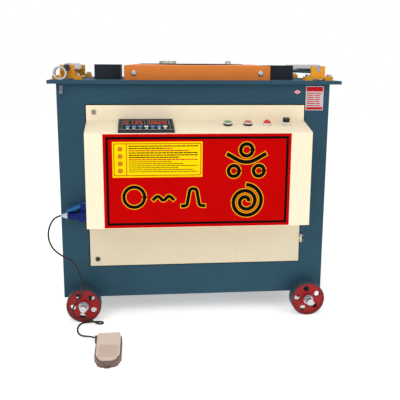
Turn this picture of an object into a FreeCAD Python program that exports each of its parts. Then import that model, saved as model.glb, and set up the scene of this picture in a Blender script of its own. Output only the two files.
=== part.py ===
import FreeCAD, Part
# Floor-standing bar bending machine: cabinet on four wheels, working disc, console door and foot switch.
#
# Units are millimetres, +Z up, the front faces -Y. The origin is on the floor, in the middle of the
# machine with its pedal. Places are given from the cabinet: x from its middle plane, y from its front
# face towards the back, z from the floor; place() adds the shift between the two.
import math
import os
import re

import Sketcher

os.makedirs("parts", exist_ok=True)
doc = FreeCAD.newDocument("bar_bender")
Vector = FreeCAD.Vector
UP = Vector(0, 0, 1)

SIZES = {
    # cabinet and table
    "plate_wide": 1000, "plate_deep": 700, "plate_thick": 12, "plate_lap": 20, "table_top": 832,
    "cabinet_wide": 936, "cabinet_deep": 660, "cabinet_low": 68, "cabinet_x": -4, "sheet_metal": 3,
    "opening_wide": 758, "opening_low": 180.5, "opening_high": 752.5, "lip_deep": 25,
    "beam_tall": 40, "beam_wide": 45,
    # door and console
    "door_wide": 751, "door_low": 184, "door_high": 749, "door_proud": 3, "door_deep": 18, "door_metal": 2,
    "console_deep": 125, "console_low": 350, "console_crease": 667, "console_high": 696,
    "hinge_x": 381, "hinge_y": -5, "barrel_round": 4, "barrel_long": 9.2, "hinge_pin_round": 2,
    "lock_x": -350, "lock_head_round": 8, "cam_long": 40,
    # wheels
    "wheel_round": 60, "wheel_wide": 40, "wheel_x": 399, "wheel_face": 70, "hub_round": 18, "hub_proud": 4,
    "axle_round": 10, "axle_reach": 105, "wheel_hole_round": 10.5, "wheel_hole_circle": 38.5,
    # working disc and its pins; the tooling's own middle plane is tool_x
    "tool_x": 8, "disc_round": 200, "disc_thick": 38, "disc_top": 888, "disc_y": 330, "disc_bore_round": 25,
    "socket_round": 17, "inner_circle": 90, "outer_circle": 145, "pin_round": 16, "pin_top": 899,
    "sleeve_round": 33,
    # strips of pin sockets
    "strip_wide": 92, "strip_long": 360, "strip_tall": 52, "strip_x": 315, "strip_y": 150,
    "strip_socket_round": 20, "strip_socket_deep": 40, "strip_pitch": 90,
    # guard
    "guard_half": 255, "guard_y": 50, "guard_tall": 49, "guard_metal": 5, "guard_back": 150,
    "guard_mitre": 46, "guard_rise": 5, "guard_gap": 6,
    # support rollers
    "roller_round": 16, "roller_z": 871.5, "roller_start": 70, "roller_long": 460, "roller_right_x": 437,
    "roller_left_x": -439, "roller_shaft_round": 8.5, "bracket_wide": 50, "bracket_thick": 10,
    "bracket_top": 882, "foot_wide": 100, "foot_deep": 36, "foot_thick": 14, "foot_arch": 5,
    "knob_round": 11, "knob_long": 15, "spare_round": 23, "spare_bore": 16.5, "spare_x": -459,
    "stud_round": 4, "stud_deep": 18,
    # main drive
    "shaft_round": 35, "wheel_gear_round": 110, "worm_round": 25, "worm_z": 720, "worm_pulley_round": 80,
    "motor_pulley_round": 40, "motor_z": 225, "motor_round": 85, "motor_half": 115, "running_gap": 0.05,
    "gearbox_half": 135, "gearbox_wall": 12, "pulley_x": -186, "pulley_wide": 34,
    # foot switch and its plug
    "plug_y": -36, "plug_z": 377, "plug_round": 13, "plug_end": -446, "gland_round": 11.5,
    "gland_long": 21, "cable_round": 3,
    "pedal_back": 238, "pedal_long": 182, "pedal_wide": 82, "pedal_nose": 56, "pedal_x": -305,
    "pedal_tab": 6, "treadle_top": 33, "treadle_metal": 3, "pedal_pin_z": 21, "tray_tall": 20, "tray_wall": 3,
    # display on the console
    "display_x": -267, "display_wide": 183, "display_long": 116, "display_thick": 8,
}

WORD = re.compile(r"[a-z][a-z_]*")

sheet = doc.addObject("Spreadsheet::Sheet", "Dims")
for row, (alias, number) in enumerate(SIZES.items(), start=1):
    sheet.set("A%d" % row, alias)
    sheet.set("B%d" % row, str(number))
    sheet.setAlias("B%d" % row, alias)
# The machine's middle between the rear axle ends and the pedal's tab sets where the front face lies.
REAR_REACH = SIZES["cabinet_deep"] + SIZES["axle_reach"]
PEDAL_REACH = SIZES["pedal_back"] + SIZES["pedal_long"] + SIZES["pedal_tab"]
SIZES["front_y"] = -(REAR_REACH - PEDAL_REACH) / 2
sheet.set("A%d" % (row + 1), "front_y")
sheet.set("B%d" % (row + 1), str(SIZES["front_y"]))
sheet.setAlias("B%d" % (row + 1), "front_y")
doc.recompute()

NODES = []


def size(alias):
    """One driving dimension, read back from the sheet."""
    return float(sheet.get(alias))


def cell(text):
    """The text of an expression, with each alias pointed at the sheet."""
    def named(word):
        return "Dims." + word.group(0) if word.group(0) in SIZES else word.group(0)

    return WORD.sub(named, str(text))


def place(thing, at, turn=None):
    """Turn a thing, then bind its place; y counts from the cabinet's front face."""
    if turn is not None:
        thing.Placement = FreeCAD.Placement(Vector(0, 0, 0), turn)
    for letter, text in zip("xyz", at):
        shift = " + front_y" if letter == "y" else ""
        thing.setExpression("Placement.Base." + letter, cell("(%s)%s" % (text, shift)))
    return thing


def box(name, sizes, at):
    """A block from its lowest corner."""
    block = doc.addObject("Part::Box", name)
    for prop, text in zip(("Length", "Width", "Height"), sizes):
        block.setExpression(prop, cell(text))
    return place(block, at)


def about(axis, degrees):
    """A rotation about X, Y or Z."""
    return FreeCAD.Rotation({"X": Vector(1, 0, 0), "Y": Vector(0, 1, 0), "Z": UP}[axis], degrees)


ALONG = {"X": about("Y", 90), "Y": about("X", -90), "Z": None}


def rod(name, radius, length, at, along="Z"):
    """A cylinder from the centre of its first end, towards +X, +Y or +Z."""
    cylinder = doc.addObject("Part::Cylinder", name)
    cylinder.setExpression("Radius", cell(radius))
    cylinder.setExpression("Height", cell(length))
    return place(cylinder, at, ALONG[along])


def taper(name, radius_a, radius_b, length, at, along="Z"):
    """A cone from the centre of its first end."""
    cone = doc.addObject("Part::Cone", name)
    cone.setExpression("Radius1", cell(radius_a))
    cone.setExpression("Radius2", cell(radius_b))
    cone.setExpression("Height", cell(length))
    return place(cone, at, ALONG[along])


def fuse(name, *parts):
    """One solid from several that meet."""
    joined = doc.addObject("Part::MultiFuse", name)
    joined.Shapes = list(parts)
    joined.Refine = True
    return joined


def group(name, *parts):
    """Separate solids under one name."""
    compound = doc.addObject("Part::Compound", name)
    compound.Links = list(parts)
    return compound


def cut(name, base, *tools):
    """The base less every tool."""
    result = doc.addObject("Part::Cut", name)
    result.Base = base
    result.Tool = tools[0] if len(tools) == 1 else fuse(name + "_tools", *tools)
    result.Refine = True
    return result


def node(thing, label=None):
    """List a finished sub-part; its label names its file."""
    if label:
        thing.Label = label
    NODES.append(thing)
    return thing


def feature(name, shape):
    """A sub-part whose shape is worked out here; y already counts from the front face."""
    thing = doc.addObject("Part::Feature", name)
    thing.Shape = shape
    thing.Placement = FreeCAD.Placement(Vector(0, size("front_y"), 0), FreeCAD.Rotation())
    return thing


def hexagon_bolt(name, at, across=17, tall=7):
    """A hexagon head that sits on the face at its lowest point."""
    head = doc.addObject("Part::Prism", name)
    head.Polygon = 6
    head.setExpression("Circumradius", cell("%s / 1.732" % across))
    head.setExpression("Height", cell(tall))
    return place(head, at)


def dome(name, radius, proud, at):
    """A bolt head with a rounded front, its flat back at the given place."""
    rim = rod(name + "_rim", radius, proud, (at[0], "%s - %s" % (at[1], proud), at[2]), "Y")
    rounded = doc.addObject("Part::Fillet", name)
    rounded.Base = rim
    doc.recompute()
    front = min(range(len(rim.Shape.Edges)), key=lambda i: rim.Shape.Edges[i].CenterOfMass.y)
    rounded.Edges = [(front + 1, proud * 0.8, proud * 0.8)]
    return rounded


# ---------------------------------------------------------------- table and cabinet

def table_plate():
    slab = box("plate_slab", ("plate_wide", "plate_deep", "plate_thick"),
               ("-plate_wide / 2", "-plate_lap", "table_top - plate_thick"))
    hole = rod("plate_hole", "shaft_round + 10", "plate_thick * 3",
               ("tool_x", "disc_y", "table_top - plate_thick * 2"))
    node(cut("table_plate", slab, hole))


def axle_notches(word, y):
    """Where the axles pass a sheet's lower edge."""
    return [rod("axle_notch_%s_%d" % (word, side), "axle_round + 0.5", "sheet_metal + 20",
                ("%d * wheel_x" % side, y + " - 10", "wheel_round"), "Y") for side in (-1, 1)]


def cabinet_panels():
    tall = "table_top - plate_thick - cabinet_low"
    front = box("front_sheet", ("cabinet_wide", "sheet_metal", tall),
                ("cabinet_x - cabinet_wide / 2", "0", "cabinet_low"))
    lip = box("front_lip", ("opening_wide + sheet_metal * 2", "lip_deep",
                            "opening_high - opening_low + sheet_metal * 2"),
              ("-opening_wide / 2 - sheet_metal", "0", "opening_low - sheet_metal"))
    opening = box("front_opening", ("opening_wide", "lip_deep * 3", "opening_high - opening_low"),
                  ("-opening_wide / 2", "-lip_deep", "opening_low"))
    node(cut("cabinet_front_frame", fuse("front_whole", front, lip), opening, *axle_notches("front", "0")))

    for side, x in (("left", "cabinet_x - cabinet_wide / 2"),
                    ("right", "cabinet_x + cabinet_wide / 2 - sheet_metal")):
        node(box("cabinet_%s_side" % side, ("sheet_metal", "cabinet_deep - sheet_metal * 2", tall),
                 (x, "sheet_metal", "cabinet_low")))

    rear = box("rear_sheet", ("cabinet_wide", "sheet_metal", tall),
               ("cabinet_x - cabinet_wide / 2", "cabinet_deep - sheet_metal", "cabinet_low"))
    louvres = []
    for column in (-1, 1):
        for step in range(9):
            louvres.append(box("louvre_%d_%d" % (column, step), ("170", "20", "9"),
                               ("%d * 220 - 85" % column, "cabinet_deep - 10", "%d" % (430 + 26 * step))))
    inlet = rod("mains_hole", "12", "20", ("330", "cabinet_deep - 10", "200"), "Y")
    notches = axle_notches("rear", "cabinet_deep - sheet_metal")
    node(cut("cabinet_rear_panel", rear, inlet, *louvres, *notches))

    flange = rod("mains_gland_flange", "17", "8", ("330", "cabinet_deep", "200"), "Y")
    nose = taper("mains_gland_nose", "14", "9", "24", ("330", "cabinet_deep + 8", "200"), "Y")
    shank = rod("mains_gland_shank", "11.9", "16", ("330", "cabinet_deep - 16", "200"), "Y")
    bore = rod("mains_gland_bore", "6", "90", ("330", "cabinet_deep - 30", "200"), "Y")
    node(cut("mains_gland", fuse("mains_gland_solid", flange, nose, shank), bore))


def base_frame():
    wide = "cabinet_wide - sheet_metal * 2"
    deep = "cabinet_deep - sheet_metal * 2"
    outer = box("base_outer", (wide, deep, "beam_tall"),
                ("cabinet_x - cabinet_wide / 2 + sheet_metal", "sheet_metal", "cabinet_low"))
    inner = box("base_inner", (wide + " - beam_wide * 2", deep + " - beam_wide * 2", "beam_tall * 3"),
                ("cabinet_x - cabinet_wide / 2 + beam_wide + sheet_metal", "beam_wide + sheet_metal",
                 "cabinet_low - beam_tall"))
    ring = cut("base_ring", outer, inner)
    bars = [box("base_bar_%d" % k, ("beam_wide", deep, "beam_tall"),
                ("tool_x + %d - beam_wide / 2" % x, "sheet_metal", "cabinet_low"))
            for k, x in enumerate((-70, 70))]
    blocks = []
    bores = []
    for side in (-1, 1):
        for end, y in ((0, "6"), (1, "cabinet_deep - 66")):
            tag = "%d_%d" % (side, end)
            blocks.append(box("axle_block_" + tag, ("40", "60", "28.5"),
                              ("%d * wheel_x - 20" % side, y, "cabinet_low - 28")))
            bores.append(rod("axle_bore_" + tag, "axle_round", "90", ("%d * wheel_x" % side, y + " - 15",
                                                                     "wheel_round"), "Y"))
    node(cut("base_frame", fuse("base_whole", ring, *bars, *blocks), *bores))


def cable_hook():
    strip = box("hook_strip", ("11", "2", "28"), ("-461", "-2", "787"))
    lip = box("hook_foot", ("11", "13", "2"), ("-461", "-15", "787"))
    nose = box("hook_nose", ("11", "2", "12"), ("-461", "-15", "787"))
    node(fuse("cable_hook", strip, lip, nose))


# ---------------------------------------------------------------- wheels

def origin_plane(body, role):
    """The body's own origin plane or axis."""
    return next(item for item in body.Origin.OriginFeatures if item.Role == role)


def circle_sketch(body, name, role, radius, centre_x=None, lift=None):
    """A sketch with one circle, its radius and offset bound to the sheet."""
    sketch = body.newObject("Sketcher::SketchObject", name)
    sketch.AttachmentSupport = [(origin_plane(body, role), "")]
    sketch.MapMode = "FlatFace"
    start_x = 1.0 if centre_x is None else 10.0
    sketch.addGeometry(Part.Circle(Vector(0 if centre_x is None else start_x, 0, 0), UP, 5), False)
    sketch.addConstraint(Sketcher.Constraint("Radius", 0, 5))
    sketch.setExpression("Constraints[0]", cell(radius))
    if centre_x is None:
        sketch.addConstraint(Sketcher.Constraint("Coincident", 0, 3, -1, 1))
    else:
        sketch.addConstraint(Sketcher.Constraint("PointOnObject", 0, 3, -1))
        sketch.addConstraint(Sketcher.Constraint("DistanceX", -1, 1, 0, 3, start_x))
        sketch.setExpression("Constraints[2]", cell(centre_x))
    if lift is not None:
        sketch.setExpression("AttachmentOffset.Base.z", cell(lift))
    return sketch


def pad(body, name, profile, length):
    raised = body.newObject("PartDesign::Pad", name)
    raised.Profile = profile
    raised.setExpression("Length", cell(length))
    return raised


def pocket(body, name, profile, depth, backwards=False):
    """A cut towards -Z of the sketch, or towards +Z when backwards."""
    doc.recompute()
    before = body.Tip.Shape.Volume
    sunk = body.newObject("PartDesign::Pocket", name)
    sunk.Profile = profile
    sunk.setExpression("Length", cell(depth))
    sunk.Reversed = backwards
    doc.recompute()
    assert sunk.Shape.Volume < before - 1.0, name + " takes nothing away"
    return sunk


def polar(body, name, original, count):
    ring = body.newObject("PartDesign::PolarPattern", name)
    ring.Originals = [original]
    ring.Axis = (origin_plane(body, "Z_Axis"), [""])
    ring.Angle = 360
    ring.Occurrences = count
    body.Tip = ring
    return ring


def wheel(name, x, y, outward, first_hole):
    """A cast wheel whose outer face looks along outward (-1 to the front, 1 to the back)."""
    body = doc.addObject("PartDesign::Body", name)
    pad(body, name + "_tread", circle_sketch(body, name + "_rim", "XY_Plane", "wheel_round"), "wheel_wide")
    face = "wheel_wide"
    dish = circle_sketch(body, name + "_dish_circle", "XY_Plane", "wheel_round - 6", lift=face)
    pocket(body, name + "_dish", dish, "3")
    back = circle_sketch(body, name + "_back_circle", "XY_Plane", "wheel_round - 9")
    pocket(body, name + "_hollow", back, "wheel_wide - 12", backwards=True)
    pad(body, name + "_hub", circle_sketch(body, name + "_hub_circle", "XY_Plane", "hub_round"),
        "wheel_wide + hub_proud")
    top = "wheel_wide + hub_proud"
    pocket(body, name + "_bore", circle_sketch(body, name + "_bore_circle", "XY_Plane",
                                               "axle_round + running_gap", lift=top), "wheel_wide * 2")
    hole = pocket(body, name + "_hole", circle_sketch(body, name + "_hole_circle", "XY_Plane",
                                                      "wheel_hole_round", "wheel_hole_circle", lift=face),
                  "wheel_wide * 2")
    polar(body, name + "_holes", hole, 5)
    # The sketches' +Z looks outward; the wheel stands as if it had rolled to where its first hole lies.
    place(body, (x, y, "wheel_round"), about("X", -90 * outward) * about("Z", first_hole))
    node(body)


def running_gear():
    inner = "wheel_face - wheel_wide"
    axles = []
    caps = []
    for side, word in ((-1, "left"), (1, "right")):
        x = "%d * wheel_x" % side
        wheel("wheel_front_" + word, x, "-(%s)" % inner, -1, 45 if side < 0 else 28)
        wheel("wheel_rear_" + word, x, "cabinet_deep + (%s)" % inner, 1, 0)
        for end in (0, 1):
            tag = "%s_%d" % (word, end)
            start = "cabinet_deep - 62" if end else "-axle_reach + 3"
            axles.append(rod("axle_" + tag, "axle_round", "axle_reach + 59", (x, start, "wheel_round"), "Y"))
            face = "wheel_face + hub_proud"
            washer_y = "cabinet_deep + %s + 0.5" % face if end else "-(%s) - 3.5" % face
            cap_y = "cabinet_deep + %s + 3.5" % face if end else "-axle_reach"
            washer = rod("washer_" + tag, "17.5", "3", (x, washer_y, "wheel_round"), "Y")
            cap_long = "axle_reach - (%s) - 3.5" % face
            cap = rod("axle_cap_" + tag, "11.5", cap_long, (x, cap_y, "wheel_round"), "Y")
            bore_y = "cabinet_deep - 20" if end else "-axle_reach + 3"
            bore = rod("cap_bore_" + tag, "axle_round", "axle_reach + 17", (x, bore_y, "wheel_round"), "Y")
            caps.append(cut("axle_end_" + tag, fuse("axle_end_solid_" + tag, washer, cap), bore))
    node(group("wheel_axles", *axles))
    node(group("axle_caps", *caps))


# ---------------------------------------------------------------- door and console

def door():
    wide = "door_wide"
    tall = "door_high - door_low"
    outer = box("door_outer", (wide, "door_deep", tall), ("-door_wide / 2", "-door_proud", "door_low"))
    inner = box("door_inner", (wide + " - door_metal * 2", "door_deep", tall + " - door_metal * 2"),
                ("-door_wide / 2 + door_metal", "-door_proud + door_metal", "door_low + door_metal"))
    straps = []
    bores = []
    for k, z in enumerate(HINGE_LEVELS):
        middle = "%s - barrel_long / 2" % z
        straps.append(box("strap_%d" % k, ("11", "door_metal", "barrel_long"),
                          ("hinge_x - 11", "-door_proud", middle)))
        straps.append(rod("door_barrel_%d" % k, "barrel_round", "barrel_long",
                          ("hinge_x", "hinge_y", middle)))
        bores.append(rod("door_barrel_bore_%d" % k, "hinge_pin_round + running_gap", "barrel_long * 2",
                         ("hinge_x", "hinge_y", "%s - barrel_long" % z)))
    for k, z in enumerate(LOCK_LEVELS):
        bores.append(rod("lock_hole_%d" % k, "6.05", "20", ("lock_x", "-10", z), "Y"))
    node(cut("door_panel", fuse("door_whole", cut("door_tray", outer, inner), *straps), *bores))


HINGE_LEVELS = ("270", "620")
LOCK_LEVELS = ("209", "726")


def hinge_frame_halves():
    halves = []
    for k, z in enumerate(HINGE_LEVELS):
        pieces = []
        for side in (-1, 1):
            low = "%s + %d * (barrel_long + 0.3) - barrel_long / 2" % (z, side)
            pieces.append(rod("frame_barrel_%d_%d" % (k, side), "barrel_round", "barrel_long",
                              ("hinge_x", "hinge_y", low)))
            pieces.append(box("frame_leaf_%d_%d" % (k, side), ("14", "3", "barrel_long"),
                              ("hinge_x", "-3", low)))
        pieces.append(rod("frame_pin_%d" % k, "hinge_pin_round", "barrel_long * 3 + 2",
                          ("hinge_x", "hinge_y", "%s - barrel_long * 1.5 - 1" % z)))
        halves.append(fuse("hinge_half_%d" % k, *pieces))
    node(group("hinge_frame_halves", *halves))


def door_lock(name, z, cam_start):
    """A quarter-turn lock, drawn unlocked: its cam lies within the door's outline."""
    head = rod(name + "_head", "lock_head_round", "3.5", ("lock_x", "-door_proud - 3.8", z), "Y")
    slot = box(name + "_slot", ("2", "2", "11"), ("lock_x - 1", "-door_proud - 5", "%s - 5.5" % z))
    shank = rod(name + "_shank", "6", "door_proud + 30", ("lock_x", "-door_proud - 1", z), "Y")
    cam = box(name + "_cam", ("12", "3", "cam_long + 6"), ("lock_x - 6", "lip_deep + 1.5",
                                                           "%s - %s" % (z, cam_start)))
    node(cut(name, fuse(name + "_whole", head, shank, cam), slot))


def slope_point(along_y):
    """Height of the console's sloping lid at a distance along_y behind the cabinet's front face."""
    run = size("console_deep") - size("door_proud")
    fall = (size("console_high") - size("console_crease")) / run
    return size("console_high") + (along_y + size("door_proud")) * fall


def slope_turn():
    """Angle of the sloping lid below the horizontal."""
    run = size("console_deep") - size("door_proud")
    return math.degrees(math.atan((size("console_high") - size("console_crease")) / run))


def on_slope(thing, x, along_y, off=0.0):
    """Stand a thing made round its own Z axis on the lid, square to it."""
    turn = slope_turn()
    base = Vector(x, along_y, slope_point(along_y))
    normal = Vector(0, -math.sin(math.radians(turn)), math.cos(math.radians(turn)))
    thing.Placement = FreeCAD.Placement(base + normal * off + Vector(0, size("front_y"), 0), about("X", turn))
    return thing


def stub(name, radius, height):
    cylinder = doc.addObject("Part::Cylinder", name)
    cylinder.setExpression("Radius", cell(radius))
    cylinder.setExpression("Height", cell(height))
    return cylinder


CONTROL_Y = -47
CONTROLS = {"start": 101.0, "stop": 170.0, "lamp": 236.0, "selector": 301.5}
COLLAR_TALL = {"start": 7, "stop": 7, "lamp": 6, "selector": 9}
CAP_START, CAP_TALL = 7.2, 5.2


def console():
    depth, proud = size("console_deep"), size("door_proud")
    low, crease, high = size("console_low"), size("console_crease"), size("console_high")
    metal, half = size("door_metal"), size("door_wide") / 2
    outline = [(-proud, low), (-depth, low), (-depth, crease), (-proud, high)]

    def prism(points, from_x, to_x):
        ring = [Vector(from_x, y, z) for y, z in points]
        return Part.Face(Part.makePolygon(ring + ring[:1])).extrude(Vector(to_x - from_x, 0, 0))

    inside = [(-proud + 1, low + metal), (-depth + metal, low + metal),
              (-depth + metal, crease - metal * 0.8), (-proud + 1, high - metal * 1.1)]
    shell = prism(outline, -half, half).cut(prism(inside, -half + metal, half - metal))
    blank = feature("console_shell", shell)
    holes = [on_slope(stub("hole_" + word, "8.1", "30"), x, CONTROL_Y, -15) for word, x in CONTROLS.items()]
    node(cut("console_box", blank, *holes))

    collars = []
    for word, x in CONTROLS.items():
        flange = on_slope(stub("collar_flange_" + word, "15", COLLAR_TALL[word]), x, CONTROL_Y)
        neck = on_slope(stub("collar_neck_" + word, "8", "22"), x, CONTROL_Y, -20)
        bore = "4" if word == "lamp" else "5.55"
        well = on_slope(stub("collar_well_" + word, bore, "40"), x, CONTROL_Y, -25)
        solid = fuse("collar_solid_" + word, flange, neck)
        if word in ("start", "stop"):
            recess = on_slope(stub("collar_recess_" + word, "12.1", "10"), x, CONTROL_Y, 1)
            collars.append(cut("collar_" + word, solid, well, recess))
        else:
            collars.append(cut("collar_" + word, solid, well))
    node(group("control_collars", *collars))

    for word, label in (("start", "start_button"), ("stop", "stop_button")):
        cap = on_slope(stub(label + "_cap", "12", CAP_TALL), CONTROLS[word], CONTROL_Y, CAP_START)
        stem = on_slope(stub(label + "_stem", "5.5", CAP_START + 19), CONTROLS[word], CONTROL_Y, -18)
        node(fuse(label, cap, stem))

    lamp_base = on_slope(stub("lamp_base", "13.5", "3"), CONTROLS["lamp"], CONTROL_Y, COLLAR_TALL["lamp"])
    lamp_top = doc.addObject("Part::Cone", "lamp_top")
    lamp_top.Radius1, lamp_top.Radius2, lamp_top.Height = 13.5, 6, 8
    on_slope(lamp_top, CONTROLS["lamp"], CONTROL_Y, COLLAR_TALL["lamp"] + 3)
    node(fuse("signal_lamp", lamp_base, lamp_top))

    grip_start = COLLAR_TALL["selector"] + 0.3
    grip = on_slope(stub("knob_grip", "12", "14"), CONTROLS["selector"], CONTROL_Y, grip_start)
    stem = on_slope(stub("knob_stem", "5.5", grip_start + 20), CONTROLS["selector"], CONTROL_Y, -18)
    node(fuse("selector_knob", grip, stem))

    # The display unit lies flat on the lid, from near the door down to the crease.
    unit = doc.addObject("Part::Box", "display_unit")
    for prop, alias in (("Length", "display_wide"), ("Width", "display_long"), ("Height", "display_thick")):
        unit.setExpression(prop, cell(alias))
    start_y = -size("console_deep") + 0.5
    corner = Vector(size("display_x"), start_y + size("front_y"), slope_point(start_y))
    unit.Placement = FreeCAD.Placement(corner, about("X", slope_turn()))
    node(unit)

    node(box("inverter", ("240", "80", "150"), ("20", "-door_proud - 80", "420")))


# ---------------------------------------------------------------- tooling on the table

def guard():
    half, start, tall = size("guard_half"), size("guard_y"), size("guard_tall")
    metal, back, mitre = size("guard_metal"), size("guard_back"), size("guard_mitre")
    low, middle = size("table_top"), size("tool_x")
    wall = Part.makeBox(half * 2, metal, tall - 1, Vector(middle - half, start, low))
    plan = [(middle - half, start), (middle + half, start), (middle + half - mitre, start + back),
            (middle - half + mitre, start + back)]
    ring = [Vector(x, y, low + tall - metal) for x, y in plan]
    lid = Part.Face(Part.makePolygon(ring + ring[:1])).extrude(Vector(0, 0, metal))
    room = Part.makeCylinder(size("disc_round") + size("guard_gap"), tall * 3,
                             Vector(middle, size("disc_y"), low - tall))
    lid = lid.cut(room)
    tilt = math.degrees(math.atan(size("guard_rise") / back))
    lid.rotate(Vector(0, start, low + tall), Vector(1, 0, 0), tilt)
    whole = wall.fuse(lid).removeSplitter()
    bolt_holes = [Part.makeCylinder(GUARD_BOLT_ROUND, 30, Vector(middle + x, start - 10, GUARD_BOLT_Z),
                                    Vector(0, 1, 0)) for x in GUARD_BOLTS]
    node(feature("guard_plate", whole.cut(Part.makeCompound(bolt_holes))))

    brackets = []
    heads = []
    for k, x in enumerate(GUARD_BOLTS):
        left = "tool_x + %d - 20" % x
        upright = box("guard_upright_%d" % k, ("40", "5", "40"), (left, "guard_y + guard_metal", "table_top"))
        foot = box("guard_foot_%d" % k, ("40", "35", "5"), (left, "guard_y + guard_metal", "table_top"))
        at = ("tool_x + %d" % x, "guard_y", "%d" % GUARD_BOLT_Z)
        shank = rod("guard_shank_%d" % k, "%d" % GUARD_BOLT_ROUND, "guard_metal + 12", at, "Y")
        heads.append(fuse("guard_bolt_%d" % k, dome("guard_head_%d" % k, 9.5, 6, at), shank))
        way = rod("guard_way_%d" % k, "%d" % GUARD_BOLT_ROUND, "60", at, "Y")
        brackets.append(cut("guard_bracket_%d" % k, fuse("guard_angle_%d" % k, upright, foot), way))
    node(group("guard_brackets", *brackets))
    node(group("guard_bolts", *heads))


GUARD_BOLTS = (-221, 221)
GUARD_BOLT_Z = 855
GUARD_BOLT_ROUND = 5


def hole_strip(name, side):
    block = box(name + "_block", ("strip_wide", "strip_long", "strip_tall"),
                ("tool_x + %d * strip_x - strip_wide / 2" % side, "strip_y", "table_top"))
    sockets = [rod("%s_socket_%d" % (name, k), "strip_socket_round", "strip_socket_deep * 2",
                   ("tool_x + %d * strip_x" % side, "strip_y + strip_pitch * %g" % (k + 0.5),
                    "table_top + strip_tall - strip_socket_deep")) for k in range(4)]
    node(cut(name, block, *sockets))


def working_disc():
    body = doc.addObject("PartDesign::Body", "working_disc")
    pad(body, "disc_slab", circle_sketch(body, "disc_rim", "XY_Plane", "disc_round"), "disc_thick")
    pocket(body, "disc_bore", circle_sketch(body, "disc_bore_circle", "XY_Plane", "disc_bore_round",
                                            lift="disc_thick"), "disc_thick * 2")
    for word, circle in (("inner", "inner_circle"), ("outer", "outer_circle")):
        hole = pocket(body, "disc_%s_hole" % word,
                      circle_sketch(body, "disc_%s_circle" % word, "XY_Plane", "socket_round", circle,
                                    lift="disc_thick"), "disc_thick * 2")
        polar(body, "disc_%s_holes" % word, hole, 4)
    place(body, ("tool_x", "disc_y", "disc_top - disc_thick"))
    node(body)

    pins = []
    for word, x, radius in (("bending", "tool_x - inner_circle", "pin_round"),
                            ("stop", "tool_x + outer_circle", "11")):
        shank = rod(word + "_pin_shank", "socket_round", "disc_thick - 2",
                    (x, "disc_y", "disc_top - disc_thick + 2"))
        peg = rod(word + "_pin_peg", radius, "pin_top - disc_top", (x, "disc_y", "disc_top"))
        pins.append(fuse(word + "_pin", shank, peg))
    node(group("disc_pins", *pins))

    sleeve = rod("sleeve_outer", "sleeve_round", "pin_top - disc_top - 1.3",
                 ("tool_x - inner_circle", "disc_y", "disc_top + 0.3"))
    hole = rod("sleeve_hole", "pin_round + running_gap", "60", ("tool_x - inner_circle", "disc_y",
                                                                "disc_top - 20"))
    node(cut("bending_sleeve", sleeve, hole))


def support_roller(word, x):
    """A long free roller on a fixed shaft, carried by a bracket with two feet at each end."""
    tube = rod("tube_" + word, "roller_round", "roller_long", (x, "roller_start", "roller_z"), "Y")
    bore = rod("tube_bore_" + word, "roller_shaft_round + running_gap", "roller_long * 2",
               (x, "roller_start - 60", "roller_z"), "Y")
    node(cut("roller_" + word, tube, bore))
    shaft = rod("roller_shaft_" + word, "roller_shaft_round", "roller_long + 28",
                (x, "roller_start - 14", "roller_z"), "Y")
    if word == "left":
        well = rod("stud_well", "stud_round + running_gap", "stud_deep + 20",
                   (x, "roller_start - 34", "roller_z"), "Y")
        shaft = cut("roller_shaft_drilled", shaft, well)
    brackets = []
    bolts = []
    for end in (0, 1):
        tag = "%s_%d" % (word, end)
        upright_y = "roller_start + roller_long + 4" if end else "roller_start - 4 - bracket_thick"
        foot_y = upright_y if end else "roller_start - 4 - foot_deep + 10"
        upright = box("upright_" + tag, ("bracket_wide", "bracket_thick", "bracket_top - table_top"),
                      (x + " - bracket_wide / 2", upright_y, "table_top"))
        foot = box("foot_" + tag, ("foot_wide", "foot_deep", "foot_thick"),
                   (x + " - foot_wide / 2", foot_y, "table_top"))
        arch = box("arch_" + tag, ("bracket_wide - 6", "120", "foot_arch"),
                   (x + " - bracket_wide / 2 + 3", foot_y + " - 40", "table_top"))
        notch = box("notch_" + tag, ("roller_shaft_round * 2 + 0.2", "60", "40"),
                    (x + " - roller_shaft_round - 0.1", upright_y + " - 20", "roller_z"))
        seat = rod("seat_" + tag, "roller_shaft_round", "60", (x, upright_y + " - 20", "roller_z"), "Y")
        brackets.append(cut("bracket_" + tag, fuse("bracket_whole_" + tag, upright, foot), arch, notch, seat))
        bolt_y = foot_y + " + foot_deep - 11" if end else foot_y + " + 11"
        # The spare sleeve's peg takes the place of the left unit's outer front bolt.
        for side in ((1,) if word == "left" and not end else (-1, 1)):
            bolts.append(hexagon_bolt("bolt_%s_%d" % (tag, side),
                                      ("%s + %d * (foot_wide / 2 - 12)" % (x, side), bolt_y,
                                       "table_top + foot_thick")))
    return shaft, brackets, bolts


def table_fittings():
    shafts, brackets, bolts = [], [], []
    for word, x in (("left", "roller_left_x"), ("right", "roller_right_x")):
        shaft, pair, heads = support_roller(word, x)
        shafts.append(shaft)
        brackets += pair
        bolts += heads
    node(group("roller_shafts", *shafts))
    node(group("roller_brackets", *brackets))
    node(group("bracket_bolts", *bolts))
    clamp_knob()
    spare_sleeve()


def clamp_knob():
    """A knob screwed on a stud in the front end of the left roller's shaft."""
    face = "roller_start - 14"
    grip = rod("clamp_grip", "knob_round", "knob_long",
               ("roller_left_x", face + " - knob_long - 2.3", "roller_z"), "Y")
    stud = rod("clamp_stud", "stud_round", "stud_deep",
               ("roller_left_x", face + " - 2.3", "roller_z"), "Y")
    node(fuse("clamp_knob", grip, stud))


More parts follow.
